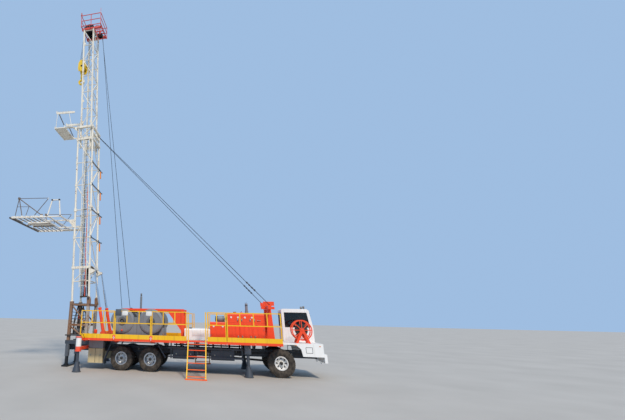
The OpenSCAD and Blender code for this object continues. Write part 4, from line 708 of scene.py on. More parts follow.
def hub_fittings(name, body, centre, side, seat_z, hub_z, hub_r):
    """The wheel nuts, the hub's flange bolts, its cap and the tyre's valve."""
    seat = Matrix.Translation((0, 0, seat_z))
    nuts = copies(wheel_nut(), [seat @ turn for turn in ring(nut_count, nut_circle_r)])
    lift = Matrix.Translation((0, 0, hub_z + 0.009))
    flange = copies(bolt(0.009), [lift @ turn for turn in ring(8, hub_r * 0.82)])
    # The cap's profile, as [share of the hub's radius, height over the hub's face]
    steps = [(0, 0.034), (0.45, 0.03), (0.55, 0.012), (1.05, 0.008), (1.1, -0.02), (0, -0.02)]
    cap = turned([(hub_r * share, hub_z + height) for share, height in steps], 24)
    valve = tube((0.235, 0, seat_z), (0.25, 0, seat_z + 0.06), 0.006, 8, 0.001)
    parts = painted(nuts + flange, "zinc") + painted([cap, valve], "axle")
    join(name, moved(parts, wheel_place(centre, side)), body)


def wheels():
    """All tyres with their tread, and the nuts and caps of all hubs."""
    axles = [("front", "front_tyre", "front_wheel", 1, 6, (0.048, 0.11, 0.075))]
    for axle in ("rear", "mid"):
        axles.append((axle, f"{axle}_tyres", f"{axle}_wheels", 2, 5, (0.108, 0.27, 0.07)))
    for name, side in wheel_sides.items():
        for axle, tyres, wheel, rings, rows, hub in axles:
            tyre(f"{tyres}_{name}_lugged", f"{tyres}_{name}", f"{wheel}_{name}", side, rings, rows)
            low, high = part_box(f"{tyres}_{name}")
            hub_fittings(f"{axle}_hub_fittings_{name}", f"{wheel}_{name}", (low + high) / 2, side, *hub)


# Ropes

rope_r = 0.013
# Shafts of the crown's sheaves and of the line sheave, as [ahead of the front legs, above the foot pin]
crown_shaft, line_shaft = (-0.56, 19.28), (0.2, 18.7)
sheave_centre = mast_at(crown_shaft[0], 0, crown_shaft[1])
line_sheave = mast_at(line_shaft[0], 0, line_shaft[1])
block_centre = at(-4.195, 0, 19.42)
stay_top, stay_foot = mast_at(0.167, 0, 10.34), at(7.27, 0, 3.23)
across = Matrix.Rotation(math.pi / 2, 4, "X")
guide_sheave = Vector((drum_pin.x + 0.23, -0.055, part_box("gantry")[1].z - 0.05))


def wound(core, outer, half, thickness):
    """A wound coil about Z, from its core to the crest of its outermost layer."""
    count = int(half / thickness)
    pitch = 2 * half / count
    profile = [(core, -half)]
    for i in range(count):
        for step in (0.05, 0.3, 0.7, 0.95):
            crest = outer - thickness * (1 - math.sin(math.pi * step))
            profile.append((crest, -half + pitch * (i + step)))
    profile.append((core, half))
    return turned(profile + profile[:1], 48)


def drum_ropes():
    """The ropes wound on both drums, and the cable on the reel."""
    for name, pin, core, half in (("main", drum_pin, 0.26, 0.42), ("sand", sand_pin, 0.2, 0.4)):
        coil = wound(core - 0.004, core + 0.055, half - 0.003, rope_r)
        moved([coil], Matrix.Translation(pin) @ across)
        join(f"{name}_drum_rope", [coil], f"{name}_drum", "rope")
    coil = wound(0.106, 0.27, 0.15, 0.016)
    moved([coil], Matrix.Translation((reel_pin.x, -0.8, reel_pin.z)) @ across)
    join("reel_cable", [coil], "reel", "rubber")


def taut_line(name, start, end):
    """A taut rope between two bodies that joints move apart."""
    line = join(name, [tube(start, end, rope_r, 10)], None, "rope")
    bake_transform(line)


def fast_lines():
    """The lines of both drums up the mast's front to their sheave under the crown.

    The main drum's leaves its coil, and the sand drum's leaves the guide sheave.
    """
    main_foot, sand_foot = drum_pin + Vector((-0.27, 0.055, 0.155)), guide_sheave + Vector((-0.07, 0, 0.07))
    for name, foot in (("main", main_foot), ("sand", sand_foot)):
        # The upper run ends near the lower section's top, so that each run spans two bodies only
        top = line_sheave + Vector((0.153, foot.y, 0))
        knee = top.lerp(foot, 0.45)
        taut_line(f"{name}_line_upper", top, knee)
        taut_line(f"{name}_line_lower", knee, foot)


def sand_line_lead():
    """The guide sheave between the gantry's beams, and the sand drum's line that comes back under it."""
    half = [(0.03, 0.03), (0.1, 0.03), (0.1, 0.022), (0.085, 0.011)]
    wheel = turned(half + [(r, -y) for r, y in reversed(half)] + half[:1], 40)
    shaft = tube((0, 0, -0.7), (0, 0, 0.7), 0.028, 16)
    moved([wheel], Matrix.Translation(guide_sheave) @ across)
    moved([shaft], Matrix.Translation((guide_sheave.x, 0, guide_sheave.z)) @ across)
    crest = sand_pin + Vector((-0.08, guide_sheave.y, 0.245))
    line = tube(crest, guide_sheave - Vector((0, 0, 0.092)), rope_r, 10)
    parts = painted([wheel, shaft], "dark_steel") + painted([line], "rope")
    join("sand_line_lead", parts, "carrier")


def hoist_rope():
    """The six falls between crown and block, tangent to both rows of sheaves."""
    top_r, low_r = 0.3443, 0.1993
    top_pitch, low_pitch = 0.16, 0.125
    gap = block_centre - sheave_centre
    gap_angle = math.atan2(gap.z, gap.x)
    turn = math.acos((top_r - low_r) / math.hypot(gap.x, gap.z))
    parts = []
    for pair in (-1, 0, 1):
        for side in (-1, 1):
            angle = gap_angle + side * turn
            ray = Vector((math.cos(angle), 0, math.sin(angle)))
            start = sheave_centre + ray * top_r + Vector((0, (pair + side / 2) * top_pitch, 0))
            end = block_centre + ray * low_r + Vector((0, pair * low_pitch, 0))
            parts.append(tube(start, end, 0.0105, 10))
    falls = join("hoist_rope_falls", parts, None, "rope")
    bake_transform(falls)
    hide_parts("hoist_lines")


def stay_ropes():
    """The two stays from the front stand to the mast, each with a turnbuckle and shackles."""
    parts = []
    # Eyes, body and nuts of a turnbuckle, as [start and end along the stay, radius]
    turnbuckle = [
        (0.9, 0.98, 0.038), (0.94, 1.46, 0.022), (1.42, 1.5, 0.038), (1.06, 1.16, 0.034), (1.26, 1.34, 0.034),
    ]
    half_pin = Vector((0, 0.022, 0))
    for side in (-1, 1):
        top, low = stay_top + Vector((0, side * 0.09, 0)), stay_foot + Vector((0, side * 0.99, 0))
        run = (top - low).normalized()
        parts += painted([tube(low, top, 0.014, 10)], "rope")
        fittings = [tube(low + run * a, low + run * b, r, 12, 0.003) for a, b, r in turnbuckle]
        for place in (low, top):
            fittings += moved([hoop(0.019, 0.005, 16)], facing(place, (0, 1, 0)))
            fittings.append(tube(place - half_pin, place + half_pin, 0.008, 8, 0.001))
        parts += painted(fittings, "dark_steel")
    stays = join("stay_ropes", parts, None)
    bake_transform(stays)
    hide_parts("stays")



# Fittings of the deck

rail_joints = (-0.22, 1.61)


def frame_of(corners, radius):
    """Bars of rubber or trim round an opening of the carrier, from corner to corner."""
    places = [at(*corner) for corner in corners]
    return [tube(a, b, radius, 8) for a, b in zip(places, places[1:] + places[:1])]


def hose(points, radius, resolution=2):
    """A hose or bent tube along points of the carrier."""
    return pipe([at(*point) for point in points], radius, resolution)


def drum_cover_trim():
    """Hub rings, bolt circles and the red grease caps of the drum covers."""
    parts = []
    for pin in (drum_pin, sand_pin):
        face = Vector((pin.x, -1.0, pin.z))
        rim = [(0.1, -0.004), (0.1, 0.022), (0.19, 0.022), (0.215, 0.012), (0.22, -0.004), (0.1, -0.004)]
        seam = turned([(0.5, -0.003), (0.5, 0.006), (0.525, 0.006), (0.525, -0.003), (0.5, -0.003)], 64)
        cap = tube((0.02, -0.45, 0), (0.02, -0.45, 0.05), 0.045, 16, 0.006)
        shaft = [(0, -0.12), (0.098, -0.12), (0.098, -0.1), (0.03, -0.09), (0.03, -0.05), (0, -0.05)]
        pieces = painted([turned(rim, 40), turned(shaft, 24)], "machine")
        pieces += painted([seam], "drum") + painted([cap], "red")
        parts += moved(pieces, facing(face, to_right))
        seats = around(face + Vector((0, -0.02, 0)), 0.16, 8, 0.5) + around(face, 0.47, 16, 0.5)
        parts += bolts(seats, to_right, 0.011)
    join("drum_cover_trim", mirrored(parts), "carrier")


def hood_trim():
    """The hood's white reflectors, panel seams, latches, hinges, handles and lifting eyes."""
    spots = [(5.42 + i * 0.33, 2.6) for i in range(4)] + [(4.56, 2.16), (5.0, 2.16)]
    parts = painted(tubes([(x, -1.0, z, x, -1.012, z) for x, z in spots], 0.045, 20, 0.003), "rim_white")
    seams = [(x, -1.006, 1.56, x + 0.016, -0.99, 2.69) for x in (5.22, 5.8, 6.4, 6.96)]
    seams += [(5.2, -1.006, z, 7.0, -0.99, z + 0.016) for z in (1.56, 2.36, 2.69)]
    seams += [(x, -1.006, 1.56, x + 0.016, -0.99, 2.28) for x in (4.42, 4.77, 5.12)]
    parts += painted(blocks(seams, 0.002, 1), "red")
    latches = [(x, -1.028, z, x + 0.05, -1.0, z + 0.11) for x in (5.7, 5.9, 6.3, 6.5) for z in (1.65, 2.42)]
    hinges = [(x, -1.01, z, x, -1.01, z + 0.09) for x in (5.24, 6.94, 4.44) for z in (1.7, 2.0)]
    handle = tubes([(6.66, -1.03, 2.47, 6.8, -1.03, 2.47)], 0.012, 10)
    handle += blocks([(x, -1.03, 2.45, x + 0.02, -1.0, 2.49) for x in (6.65, 6.79)])
    parts += painted(blocks(latches, 0.005) + tubes(hinges, 0.009, 8, 0.001) + handle, "zinc")
    parts = mirrored(parts)
    eyes = copies(hoop(0.03, 0.009, 20), [facing(at(5.96, y, 2.87), ahead) for y in (-0.5, 0.5)])
    rim = turned([(0.062, 0), (0.062, 0.02), (0.078, 0.02), (0.078, 0), (0.062, 0)], 24)
    moved([rim], Matrix.Translation(at(5.62, -0.65, 2.845)))
    join("hood_trim", parts + painted(eyes + [rim], "dark_steel"), "carrier")


def exhaust_trim():
    """The large exhaust's rain cap, clamps of both, and straps and intake hose of the air cleaner."""
    flap = tube((0, 0, 0), (0, 0, 0.006), 0.08, 24, 0.001)
    tilt = Matrix.Translation(at(6.23, 0.7, 3.352)) @ Matrix.Rotation(math.radians(-28), 4, "Y")
    parts = moved([flap], tilt @ Matrix.Translation((0.077, 0, 0)))
    for x, y, z, r in ((6.3, 0.7, 3.22, 0.07), (0.4, 1.09, 3.73, 0.045)):
        parts += moved([band(r - 0.004, r + 0.008, 0.03, 32, 0.003)], Matrix.Translation(at(x, y, z)))
    straps = (4.765, 5.035)
    parts += copies(band(0.139, 0.145, 0.03, 40), [facing(at(x - 0.015, -0.7, 2.51), ahead) for x in straps])
    parts += copies(bolt(0.01), [facing(at(x, -0.845, 2.51), to_right) for x in straps])
    inlet = hose([(5.1, -0.7, 2.51), (5.2, -0.7, 2.53), (5.28, -0.62, 2.66), (5.3, -0.55, 2.8)], 0.055, 4)
    cone = turned([(0.05, 0), (0.13, 0.02), (0.136, 0.035), (0.136, 0.05), (0.05, 0.06), (0.05, 0)], 32)
    moved([cone], facing(at(4.7, -0.7, 2.51), back))
    parts = painted(parts, "dark_steel") + painted([inlet, cone], "rubber")
    join("exhaust_trim", parts, "carrier")


def cab_trim():
    """Gaskets, wipers, lenses, marker lamps, step frames, mirror glass, blank plate and the door's handle."""
    windscreen = [(9.462, 0.265, 2.225), (9.462, 1.135, 2.225), (9.372, 1.135, 2.905), (9.372, 0.265, 2.905)]
    rear_pane = [(7.986, 0.305, 2.245), (7.986, 1.095, 2.245), (7.986, 1.095, 2.875), (7.986, 0.305, 2.875)]
    right_pane = [(8.125, 0.147, 2.195), (9.315, 0.147, 2.195), (9.205, 0.147, 2.895), (8.125, 0.147, 2.895)]
    parts = frame_of(windscreen, 0.011) + frame_of(rear_pane, 0.01) + frame_of(right_pane, 0.01)
    for y in (0.4, 0.8):
        parts += tubes([(9.485, y, 2.17, 9.445, y + 0.2, 2.5)], 0.007, 8)
        parts += tubes([(9.47, y + 0.06, 2.33, 9.425, y + 0.28, 2.68)], 0.009, 6)
        parts += tubes([(9.46, y, 2.17, 9.492, y, 2.17)], 0.018, 12, 0.002)
    painted(parts, "rubber")
    lens = turned([(0, 0.014), (0.035, 0.011), (0.055, 0.004), (0.06, -0.004), (0, -0.004)], 28)
    lamps = [at(9.19, y, 3.167) for y in (0.41, 0.99)]
    lamps += [at(9.58, y, 0.88) for y in (-0.93, -0.77, 0.77, 0.93)]
    parts += painted(copies(lens, [facing(lamp, ahead) for lamp in lamps]), "clear_lens")
    markers = [(x, -1.262, z, x + 0.07, -1.245, z + 0.035) for x, z in ((8.25, 1.4), (9.3, 1.38))]
    markers += [(x, -1.957, 1.41, x + 0.06, -1.945, 1.44) for x in (-1.5, 0.7, 2.5, 6.4)]
    parts += painted(mirrored(blocks(markers)), "amber_lens")
    step = frame_of([(8.72, -1.25, 1.1), (9.0, -1.25, 1.1), (9.0, -1.25, 1.34), (8.72, -1.25, 1.34)], 0.012)
    parts += painted(mirrored(step), "drum")
    parts += painted(blocks([(9.171, 1.48, 2.36, 9.178, 1.61, 2.76)]), "chrome")
    parts += painted(blocks([(9.598, -0.22, 0.74, 9.604, 0.22, 0.85)], 0.003), "rim_white")
    join("cab_trim", parts, "carrier")
    handle = tubes([(8.25, 1.29, 2.0, 8.37, 1.29, 2.0)], 0.009, 10)
    handle += blocks([(x, 1.245, 1.98, x + 0.02, 1.295, 2.02) for x in (8.24, 8.36)])
    pane = [(8.27, 1.252, 2.17), (8.97, 1.252, 2.17), (8.97, 1.252, 2.84), (8.27, 1.252, 2.84)]
    parts = painted(handle, "dark_steel") + painted(frame_of(pane, 0.01), "rubber")
    join("cab_door_trim", parts, "cab_door")


def rail_trim():
    """Joint plates of the rails, the grey box and blank white plates on them, and the posts' feet."""
    parts = []
    for x in rail_joints:
        parts += painted(blocks([(x - 0.07, -1.962, 1.42, x + 0.07, -1.945, 1.66)]), "red")
        cross = [(x - 0.055, -1.968, 1.525, x + 0.055, -1.958, 1.555)]
        cross += [(x - 0.015, -1.968, 1.46, x + 0.015, -1.958, 1.62)]
        parts += painted(blocks(cross, 0.002, 1), "rim_white")
        parts += painted(tubes([(x, -1.93, 1.74, x, -1.93, 2.1)], 0.012, 10), "zinc")
    parts += painted(blocks([(-0.17, -2.05, 2.56, 0.1, -1.955, 2.87)], 0.012), "guard")
    parts += painted(blocks([(-0.14, -2.056, 2.6, 0.07, -2.045, 2.83)]), "guard")
    plates = [(x, -1.966, 2.58, x + 0.3, -1.954, 2.79) for x in (0.14, 1.34)]
    parts += painted(blocks(plates), "rim_white")
    seats = [at(x, -1.966, z) for x in (0.17, 0.41, 1.37, 1.61) for z in (2.61, 2.76)]
    join("rail_trim", parts + bolts(seats, to_right, 0.008), "carrier")
    # Start and end of each length of rail, whose end posts stand on foot plates
    lengths = ((-1.98, rail_joints[0]), rail_joints, (rail_joints[1], 3.33), (4.27, 5.17), (5.17, 7.63))
    posts = [x for start, end in lengths for x in (start + 0.034, end - 0.034)]
    feet = blocks([(x - 0.02, -1.96, 1.5, x + 0.02, -1.9, 1.508) for x in posts], 0.001, 1)
    feet = painted(feet, "yellow") + bolts([at(x, -1.918, 1.508) for x in posts], upward, 0.009)
    join("rail_feet", mirrored(feet), "carrier")


def deck_trim():
    """A blank plate on the tank, its filler and sight glass, and the pins of the ladders."""
    parts = painted(blocks([(3.5, -1.008, 1.68, 4.1, -0.996, 1.92)], 0.003), "rim_white")
    filler = turned([(0, 0.05), (0.075, 0.045), (0.085, 0.03), (0.07, 0.0), (0, 0.0)], 28)
    parts += painted(moved([filler], Matrix.Translation(at(3.4, -0.6, 2.02))), "dark_steel")
    parts += painted(tubes([(4.25, -1.02, 1.6, 4.25, -1.02, 1.94)], 0.01, 10), "clear_lens")
    ends = blocks([(4.235, -1.03, z, 4.265, -0.99, z + 0.03) for z in (1.585, 1.925)], 0.003)
    pins = [(x, -1.93, z, x, -2.035, z) for x in (3.36, 4.24) for z in (1.48, 2.2, 2.76)]
    parts += painted(ends + mirrored(tubes(pins, 0.012, 10, 0.002)), "zinc")
    join("deck_trim", parts, "carrier")


def underside():
    """Brake chambers, spring bolts, tank straps, pipes with clips, box seams and locks, and tail lamps."""
    dark, hoses = [], []
    pot = [(0, 0.15), (0.06, 0.145), (0.082, 0.1), (0.088, 0.09)]
    pot += [(0.088, 0.07), (0.082, 0.06), (0.07, 0), (0, 0)]
    for x, y, z in ((0, 0.62, 0.61), (1.45, 0.62, 0.61), (7.6, 0.465, 0.665)):
        for side in (-1, 1):
            place = at(x - 0.2, side * y, z)
            dark += moved([turned(pot, 24)], facing(place, back))
            route = [place + Vector((-0.1, 0, 0.07)), place + Vector((-0.15, 0, 0.2))]
            hoses.append(pipe(route + [at(x - 0.3, side * 0.465, 0.88)], 0.008))
    springs = [(x, y, 0.6, x, y, 0.73) for x in (7.5, 7.7) for y in (-0.44, -0.34, 0.34, 0.44)]
    bright = tubes(springs, 0.01, 8, 0.001)
    straps = [facing(at(x, -0.94, 0.9), ahead) for x in (3.75, 4.25)]
    bright += mirrored(copies(band(0.114, 0.12, 0.035, 32), straps))
    for z, r in ((0.94, 0.012), (0.99, 0.009)):
        hoses += tubes([(-2.4, y, z, 8.8, y, z) for y in (-0.475, 0.475)], r, 8)
    stations = (-1.2, 0.7, 2.4, 3.9, 5.6, 8.2)
    clips = [(x, y, 0.93, x + 0.03, y + 0.05, 1.01) for x in stations for y in (-0.49, 0.44)]
    locks = [(x, -1.257, 0.62, x + 0.06, -1.243, 0.7) for x in (-1.62, -1.12)]
    locks += [(x, -1.13, 0.82, x + 0.06, -1.118, 0.88) for x in (2.7, 3.4, 4.55, 5.3)]
    bright += blocks(clips, 0.002, 1) + mirrored(blocks(locks))
    seams = [(-1.7, -1.25, 0.97, -0.98, -1.243, 0.99), (-1.36, -1.25, 0.32, -1.34, -1.243, 0.97)]
    lamps = mirrored(blocks([(-3.262, -0.46, 0.86, -3.248, -0.36, 0.92)]))
    parts = painted(dark + mirrored(blocks(seams, 0.001, 1)), "axle") + painted(bright, "zinc")
    parts += painted(hoses, "rubber") + painted(lamps, "red_lens")
    join("underside_fittings", parts, "carrier")


def jack_trim():
    """Caps, bolts, bands and hoses of the jacks."""
    cap = turned([(0, 0.05), (0.05, 0.045), (0.075, 0.03), (0.12, 0.022), (0.128, 0.0), (0, 0.0)], 32)
    parts = painted(moved([cap], Matrix.Translation(at(-1.85, -2.3, 1.58))), "dark_steel")
    turns = [2 * math.pi * i / 8 for i in range(8)]
    seats = [at(-1.85 + 0.142 * math.cos(a), -2.3 + 0.142 * math.sin(a), 0.96) for a in turns]
    parts += bolts(seats, upward, 0.008)
    rear = [(-1.8, -2.3, 1.62), (-1.76, -2.2, 1.72), (-1.72, -2.05, 1.62)]
    rear += [(-1.7, -1.9, 1.38), (-1.6, -1.4, 1.36)]
    front = [(6.1, -1.6, 1.38), (6.2, -1.66, 1.3), (6.2, -1.5, 1.1), (6.05, -1.1, 1.2), (5.9, -0.6, 1.2)]
    parts += painted([hose(rear, 0.011), hose(front, 0.011)], "rubber")
    plates = [(5.99, -1.618, z, 6.21, -1.606, z + 0.02) for z in (1.0, 1.36)]
    parts += painted(blocks(plates, 0.002, 1), "guard")
    parts += bolts([at(x, -1.618, 1.2) for x in (6.02, 6.18)], to_right, 0.01)
    join("jack_trim", mirrored(parts), "carrier")


# Fittings of the mast, its base, boards, crown and block

# Half width and depth between the lower section's legs, the base's posts, and the crown above the foot pin
mast_half, mast_depth = 0.62, 0.97
base_front, base_rear = -2.15, -3.12
crown_level = 18.95
# Side edge and rear end of the tubing board, and floor and side edge of the rod board
board_edge, board_end = 1.67, -7.0
rod_floor, rod_edge = 14.2, 0.776


def base_hoses():
    """The hydraulic hoses in the mast's base, with their valve bank, red valves and lock cylinder."""
    hoses = []
    for i in range(10):
        share = i / 9
        x = base_rear + 0.14 + 0.68 * share
        sway = 0.09 * math.sin(2.7 * i)
        y = -0.5 + 0.11 * math.cos(1.9 * i)
        route = [(x, y, 1.56), (x + sway, y - 0.05, 2.0), (x - 0.5 * sway, y + 0.06, 2.5 + 0.1 * share)]
        route += [(base_rear + 0.3 + 0.4 * share + sway, y, 2.95)]
        route += [(base_rear + 0.34 + 0.3 * share, y + 0.04, 3.16)]
        hoses.append(hose(route, 0.019 if i % 3 else 0.027))
    for i in range(5):
        z = 2.04 + 0.17 * i
        sag = 0.06 + 0.03 * math.sin(3.1 * i)
        route = [(base_rear + 0.06, -0.57, z), (-2.64, -0.62, z - sag), (base_front - 0.06, -0.57, z + 0.04)]
        hoses.append(hose(route, 0.015))
    steel = blocks([(-2.86, -0.6, 1.62, -2.42, -0.42, 1.86)], 0.01)
    shelves = [(-3.02, -0.66, 1.5, -2.24, -0.34, 1.57), (-2.88, -0.68, 3.14, -2.36, -0.32, 3.175)]
    steel += blocks(shelves, 0.006)
    levers = [-2.82 + 0.1 * i for i in range(4)]
    steel += tubes([(x, -0.51, 1.86, x, -0.51, 1.92) for x in levers], 0.03, 12, 0.004)
    steel += tubes([(x, -0.51, 1.9, x + 0.03, -0.55, 2.06) for x in levers], 0.008, 8)
    red = tubes([(x + 0.03, -0.55, 2.05, x + 0.036, -0.557, 2.09) for x in levers], 0.016, 12, 0.004)
    red += tubes([(-2.64, -0.5, 2.34, -2.64, -0.5, 2.46)], 0.05, 16, 0.008)
    red += tubes([(-2.64, -0.5, 2.46, -2.64, -0.5, 2.52)], 0.085, 16, 0.01)
    red += tubes([(-1.55, -0.85, 1.5, -1.55, -0.85, 1.66)], 0.045, 16, 0.006)
    red += tubes([(-1.55, -0.85, 1.66, -1.55, -0.85, 1.86)], 0.085, 20, 0.02)
    cylinder = tubes([(-2.3, -0.45, 1.9, -2.3, -0.45, 2.35)], 0.042, 16, 0.004)
    cylinder += tubes([(-2.3, -0.45, 2.35, -2.3, -0.45, 2.62)], 0.02)
    parts = painted(hoses, "rubber") + painted(steel, "machine") + painted(red, "red")
    join("base_hoses", parts + painted(cylinder, "chrome"), "carrier")


def base_trim():
    """Foot plates with their bolts under the base's posts, and the caps of the mast's foot pins."""
    steel = []
    for x in (base_front, base_rear):
        steel += blocks([(x - 0.15, -0.77, 1.5, x + 0.15, -0.47, 1.56)], 0.006)
        seats = [at(x + dx, -0.62 + dy, 1.56) for dx in (-0.11, 0.11) for dy in (-0.11, 0.11)]
        steel += bolts(seats, upward, 0.016)
    pin = mast_at(0, -mast_half - 0.1, 0)
    steel.append(tube(pin, pin - Vector((0, 0.025, 0)), 0.06, 24, 0.005))
    steel += bolts([pin + Vector((dx, -0.02, 0)) for dx in (-0.035, 0.035)], to_right, 0.009)
    join("base_trim", mirrored(painted(steel, "dark_paint")), "carrier")


def mast_plates():
    """Gusset plates on the legs at every level of the lower section, and the pins that lock both sections."""
    face = -mast_half - 0.062
    turns = [mast_turn(mast_at(u, 0, w)) for w in collars for u in (0, -mast_depth)]
    plate = block((-0.055, face - 0.008, -0.1), (0.055, face + 0.008, 0.1), 0.003, 1)
    corners = [Vector((x, face - 0.008, z)) for x in (-0.035, 0.035) for z in (-0.064, 0.064)]
    parts = painted(copies(plate, turns), "mast_white")
    parts += bolts([turn @ corner for turn in turns for corner in corners], to_right, 0.011)
    for u in (0, -mast_depth):
        pin = mast_at(u, -mast_half - 0.01, 10.6)
        parts += painted([tube(pin, pin - Vector((0, 0.1, 0)), 0.026, 16, 0.004)], "dark_steel")
    join("mast_plates", mirrored(parts), "mast_lower")


def mast_hoses():
    """Hoses, cables and clips up the mast's right face, with bulkheads, front cylinder and lamp leads."""
    face = -mast_half - 0.045
    foot = 0.11
    swing = (0.0, 0.03, -0.015, 0.02, 0.045, 0.0)
    route = [mast_at(-0.24 + sway, face, foot + 1.2 * i) for i, sway in enumerate(swing)]
    red = [pipe(route + [mast_at(-0.2, face + 0.06, 6.72)], 0.021, 3)]
    black = []
    for k, top in enumerate((collars[5], collars[4], collars[3])):
        sway = [-0.33 - 0.05 * k + 0.03 * math.sin(2.2 * i + k) for i in range(7)]
        route = [mast_at(u, face + 0.012, foot + (top - foot) * i / 6) for i, u in enumerate(sway)]
        black.append(pipe(route, 0.012))
    knee = mast_at(0.1, 0.1, 1.56)
    dark = [tube(mast_at(0.1, -0.6, 1.7), knee, 0.06, 20, 0.01), tube(knee, mast_at(0.1, 0.5, 1.48), 0.025)]
    for i in range(9):
        sway = 0.05 * math.sin(2.3 * i)
        side = face + 0.09 + 0.12 * (i % 3)
        route = [mast_at(-0.14 - 0.035 * i, side, foot), mast_at(-0.13 - 0.03 * i + sway, side + 0.03, 0.5)]
        route.append(mast_at(-0.14 - 0.03 * i - sway, side - 0.02, 1.0))
        route.append(mast_at(-0.1 - 0.02 * i, side + 0.02, 1.7))
        black.append(pipe(route, 0.016 + 0.006 * (i % 3)))
    bulkheads = [
        block((-0.5, face - 0.03, 0.09), (-0.12, face + 0.38, 0.12)),
        block((-0.52, face + 0.03, 0.06), (-0.03, face + 0.075, 0.14)),
        block((-0.34, face, 1.69), (-0.06, face + 0.38, 1.72)),
    ]
    dark += moved(bulkheads, mast_turn(foot_pin))
    clip = block((-0.03, face - 0.022, -0.015), (0.2, face + 0.018, 0.015), 0.003, 1)
    clips = copies(clip, [mast_turn(mast_at(-0.42, 0, w)) for w in collars])
    start, end = Vector((0, 0.02, 0.2)), Vector((0, -0.06, 0.31))
    black += [tube(place + start, place + end, 0.009, 8) for place in lamp_places]
    parts = painted(red, "red_hose") + painted(black, "rubber") + painted(dark, "dark_paint")
    join("mast_hoses", parts + painted(clips, "zinc"), "mast_lower")


def upper_plates():
    """Gussets inside the legs of the upper section, thin enough to slide into the lower one, and a cable."""
    parts = []
    for w in (11.25, 12.9, 14.5, 16.1, 17.7):
        for u, inward in ((-0.14, -1), (-0.83, 1)):
            turn = mast_turn(mast_at(u, -0.49, w))
            low, high = sorted((inward * 0.02, inward * 0.13))
            plate = block((low, -0.006, -0.09), (high, 0.006, 0.09), 0.002, 1)
            parts += painted(moved([plate], turn), "mast_white")
            seats = [turn @ Vector((inward * 0.085, -0.006, z)) for z in (-0.05, 0.05)]
            parts += bolts(seats, to_right, 0.01)
    cable = pipe([mast_at(-0.2 + 0.02 * math.sin(1.7 * i), -0.47, 11.0 + 0.98 * i) for i in range(9)], 0.01)
    join("upper_plates", mirrored(parts) + painted([cable], "rubber"), "mast_upper")


def crown_trim():
    """Shaft caps and bolts of the crown's sheaves, the beacon's lens and guard, and the aerial's base."""
    parts = []
    for (u, w), y, r in ((crown_shaft, -0.46, 0.07), (line_shaft, -0.14, 0.045)):
        centre = mast_at(u, y, w)
        cap = turned([(0, 0.02), (r * 0.8, 0.02), (r, 0.012), (r, 0.0), (0, 0.0)], 24)
        parts += painted(moved([cap], facing(centre, to_right)), "dark_steel")
        parts += bolts(around(centre + Vector((0, 0.03, 0)), r * 1.5, 6), to_right, 0.01)
    parts = mirrored(parts)
    base = mast_at(-1.0, -0.7, crown_level + 1.2)
    lens = turned([(0, 0.185), (0.03, 0.18), (0.046, 0.15), (0.048, 0.02), (0, 0.02)], 24)
    parts += painted(moved([lens], mast_turn(base)), "red_lens")
    guard = moved([hoop(0.05, 0.004, 24)], mast_turn(base + Vector((0, 0, 0.1))))
    parts += painted(guard, "dark_steel")
    aerial = turned([(0, 0.06), (0.02, 0.055), (0.024, 0.0), (0, 0.0)], 16)
    parts += painted(moved([aerial], mast_turn(mast_at(0.46, -0.7, crown_level + 1.14))), "rim_white")
    join("crown_trim", parts, "mast_upper")


def block_trim():
    """Shaft caps, cheek bolts and ribs of the block, and the hook's safety latch."""
    mid = Vector((block_centre.x, 0, block_centre.z))
    cap = turned([(0, 0.03), (0.05, 0.03), (0.07, 0.02), (0.075, 0.0), (0, 0.0)], 24)
    parts = painted(moved([cap], facing(mid + Vector((0, -0.23, 0)), to_right)), "dark_steel")
    corners = ((-0.17, 0.26), (0.17, 0.26), (-0.17, -0.25), (0.17, -0.25), (0, 0.42))
    parts += bolts([mid + Vector((x, -0.23, z)) for x, z in corners], to_right, 0.014)
    low, high = mid + Vector((-0.012, -0.238, -0.16)), mid + Vector((0.012, -0.228, 0.2))
    ribs = copies(block(low, high, 0.003, 1), [Matrix.Translation((x, 0, 0)) for x in (-0.2, 0.2)])
    parts = mirrored(parts + painted(ribs, "block"))
    hook = Vector((block_centre.x, 0, 18.18))
    latch = pipe([hook + Vector((x, 0, z)) for x, z in ((0.06, 0.12), (0.1, 0.05), (0.14, -0.02))], 0.012)
    join("block_trim", parts + painted([latch], "dark_steel"), "travelling_block")


def board_trim():
    """Finger knobs, edge strip, rail clamps, floor slats, hinge pins and bolts of the tubing board."""
    fingers = [board_end + 0.24 + 0.29 * i for i in range(6)]
    edge, top = -board_edge, board_top
    rail = edge + 0.024
    dark = tubes([(x, -0.637, top + 0.055, x, -0.637, top + 0.085) for x in fingers], 0.022, 12, 0.004)
    dark += blocks([(board_end - 0.006, edge, top - 0.05, board_end, 0, top - 0.01)], 0.002, 1)
    dark += tubes([(x, rail, top - 0.012, x, rail, top + 0.03) for x in (-4.64, -3.86)], 0.05, 16, 0.005)
    pins = [(x, rail - 0.045, top + 0.96, x, rail + 0.045, top + 0.96) for x in (-4.44, -4.01)]
    slats = [(x, -0.335, top, x + 0.06, 0, top + 0.006) for x in (-6.5 + 0.24 * i for i in range(6))]
    dark += tubes(pins, 0.052, 20, 0.006) + blocks(slats, 0.002, 1)
    seats = [at(x + dx, edge - 0.012, top - 0.02) for x in fingers for dx in (-0.07, 0.07)]
    parts = painted(dark, "dark_paint") + bolts(seats, to_right, 0.011)
    join("board_trim", mirrored(parts), "tubing_board")


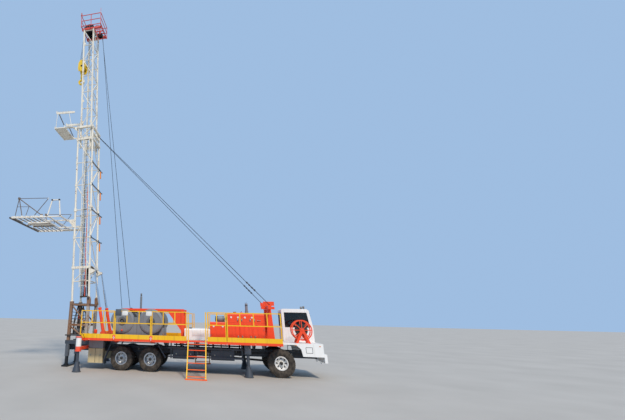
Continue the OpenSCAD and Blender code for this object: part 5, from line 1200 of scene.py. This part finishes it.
def rod_board_trim():
    """The upper board's dark brace sleeves, knobs of its rod fingers and its floor slats."""
    top, foot = at(-5.18, -rod_edge + 0.022, 15.25), at(-4.64, -rod_edge + 0.022, 14.18)
    dark = [tube(top.lerp(foot, 0.06), top.lerp(foot, 0.86), 0.03, 16, 0.006)]
    knob_y = -rod_edge + 0.023
    knobs = [(x, knob_y, 15.388, x, knob_y, 15.42) for x in (-5.229 + 0.17 * i for i in range(6))]
    low, high = rod_floor - 0.018, rod_floor + 0.006
    slats = [(x, -0.7, low, x + 0.04, 0, high) for x in (-5.28 + 0.11 * i for i in range(5))]
    dark += tubes(knobs, 0.018, 12, 0.004) + blocks(slats, 0.002, 1)
    join("rod_board_trim", mirrored(painted(dark, "dark_paint")), "rod_board")


def reel_trim():
    """Hub cap and spoke bolts of the reel beside the cab."""
    face = Vector((reel_pin.x, -0.99, reel_pin.z))
    hub = turned([(0, 0.025), (0.05, 0.022), (0.075, 0.01), (0.08, 0.0), (0, 0.0)], 28)
    parts = painted(moved([hub], facing(face, to_right)), "dark_steel")
    parts += bolts(around(face + Vector((0, -0.012, 0)), 0.06, 6), to_right, 0.008)
    join("reel_trim", parts, "reel")


# Camera, light and floor


def camera():
    """The photograph's camera: its place, its three axes and its lens."""
    place = at(4.88, -19.08, 2.46)
    right = Vector((0.98534499, 0.16932372, 0.02060887))
    down = Vector((-0.03169238, 0.30045261, -0.95327007))
    forward = Vector((-0.16760322, 0.93864674, 0.30141575))
    picture_width, focal_px = 625, 343.7
    data = bpy.data.cameras.new("camera")
    data.sensor_width = 36
    data.lens = data.sensor_width * focal_px / picture_width
    data.shift_x = 0.2472
    data.clip_end = 400
    view = bpy.data.objects.new("camera", data)
    view.matrix_world = Matrix.Translation(place) @ Matrix((right, -down, -forward)).transposed().to_4x4()
    bpy.context.scene.collection.objects.link(view)
    bpy.context.scene.camera = view


def studio():
    """A pale concrete floor, a pale sky-grey room and one soft sun from the camera's side."""
    scene = bpy.context.scene
    scene.view_settings.view_transform = "Standard"
    world = bpy.data.worlds.new("room")
    world.use_nodes = True
    world.node_tree.nodes["Background"].inputs["Color"].default_value = linear("#a3c2e6")
    world.node_tree.nodes["Background"].inputs["Strength"].default_value = 0.95
    scene.world = world
    sun = bpy.data.lights.new("soft_sun", "SUN")
    sun.energy, sun.angle, sun.color = 3.0, math.radians(9), linear("#ffefda")[:3]
    lamp = bpy.data.objects.new("soft_sun", sun)
    lamp.rotation_euler = Vector((-0.35, 0.75, -0.9)).to_track_quat("-Z", "Y").to_euler()
    scene.collection.objects.link(lamp)
    bpy.ops.object.select_all(action="DESELECT")
    bpy.ops.mesh.primitive_plane_add(size=600)
    floor = bpy.context.object
    floor.name = "floor"
    floor.data.materials.append(concrete())


finish_nodes()
camera()
studio()
wheels()
drum_ropes()
fast_lines()
sand_line_lead()
hoist_rope()
stay_ropes()
drum_cover_trim()
hood_trim()
exhaust_trim()
cab_trim()
rail_trim()
deck_trim()
underside()
jack_trim()
base_hoses()
base_trim()
mast_plates()
mast_hoses()
upper_plates()
crown_trim()
block_trim()
board_trim()
rod_board_trim()
reel_trim()
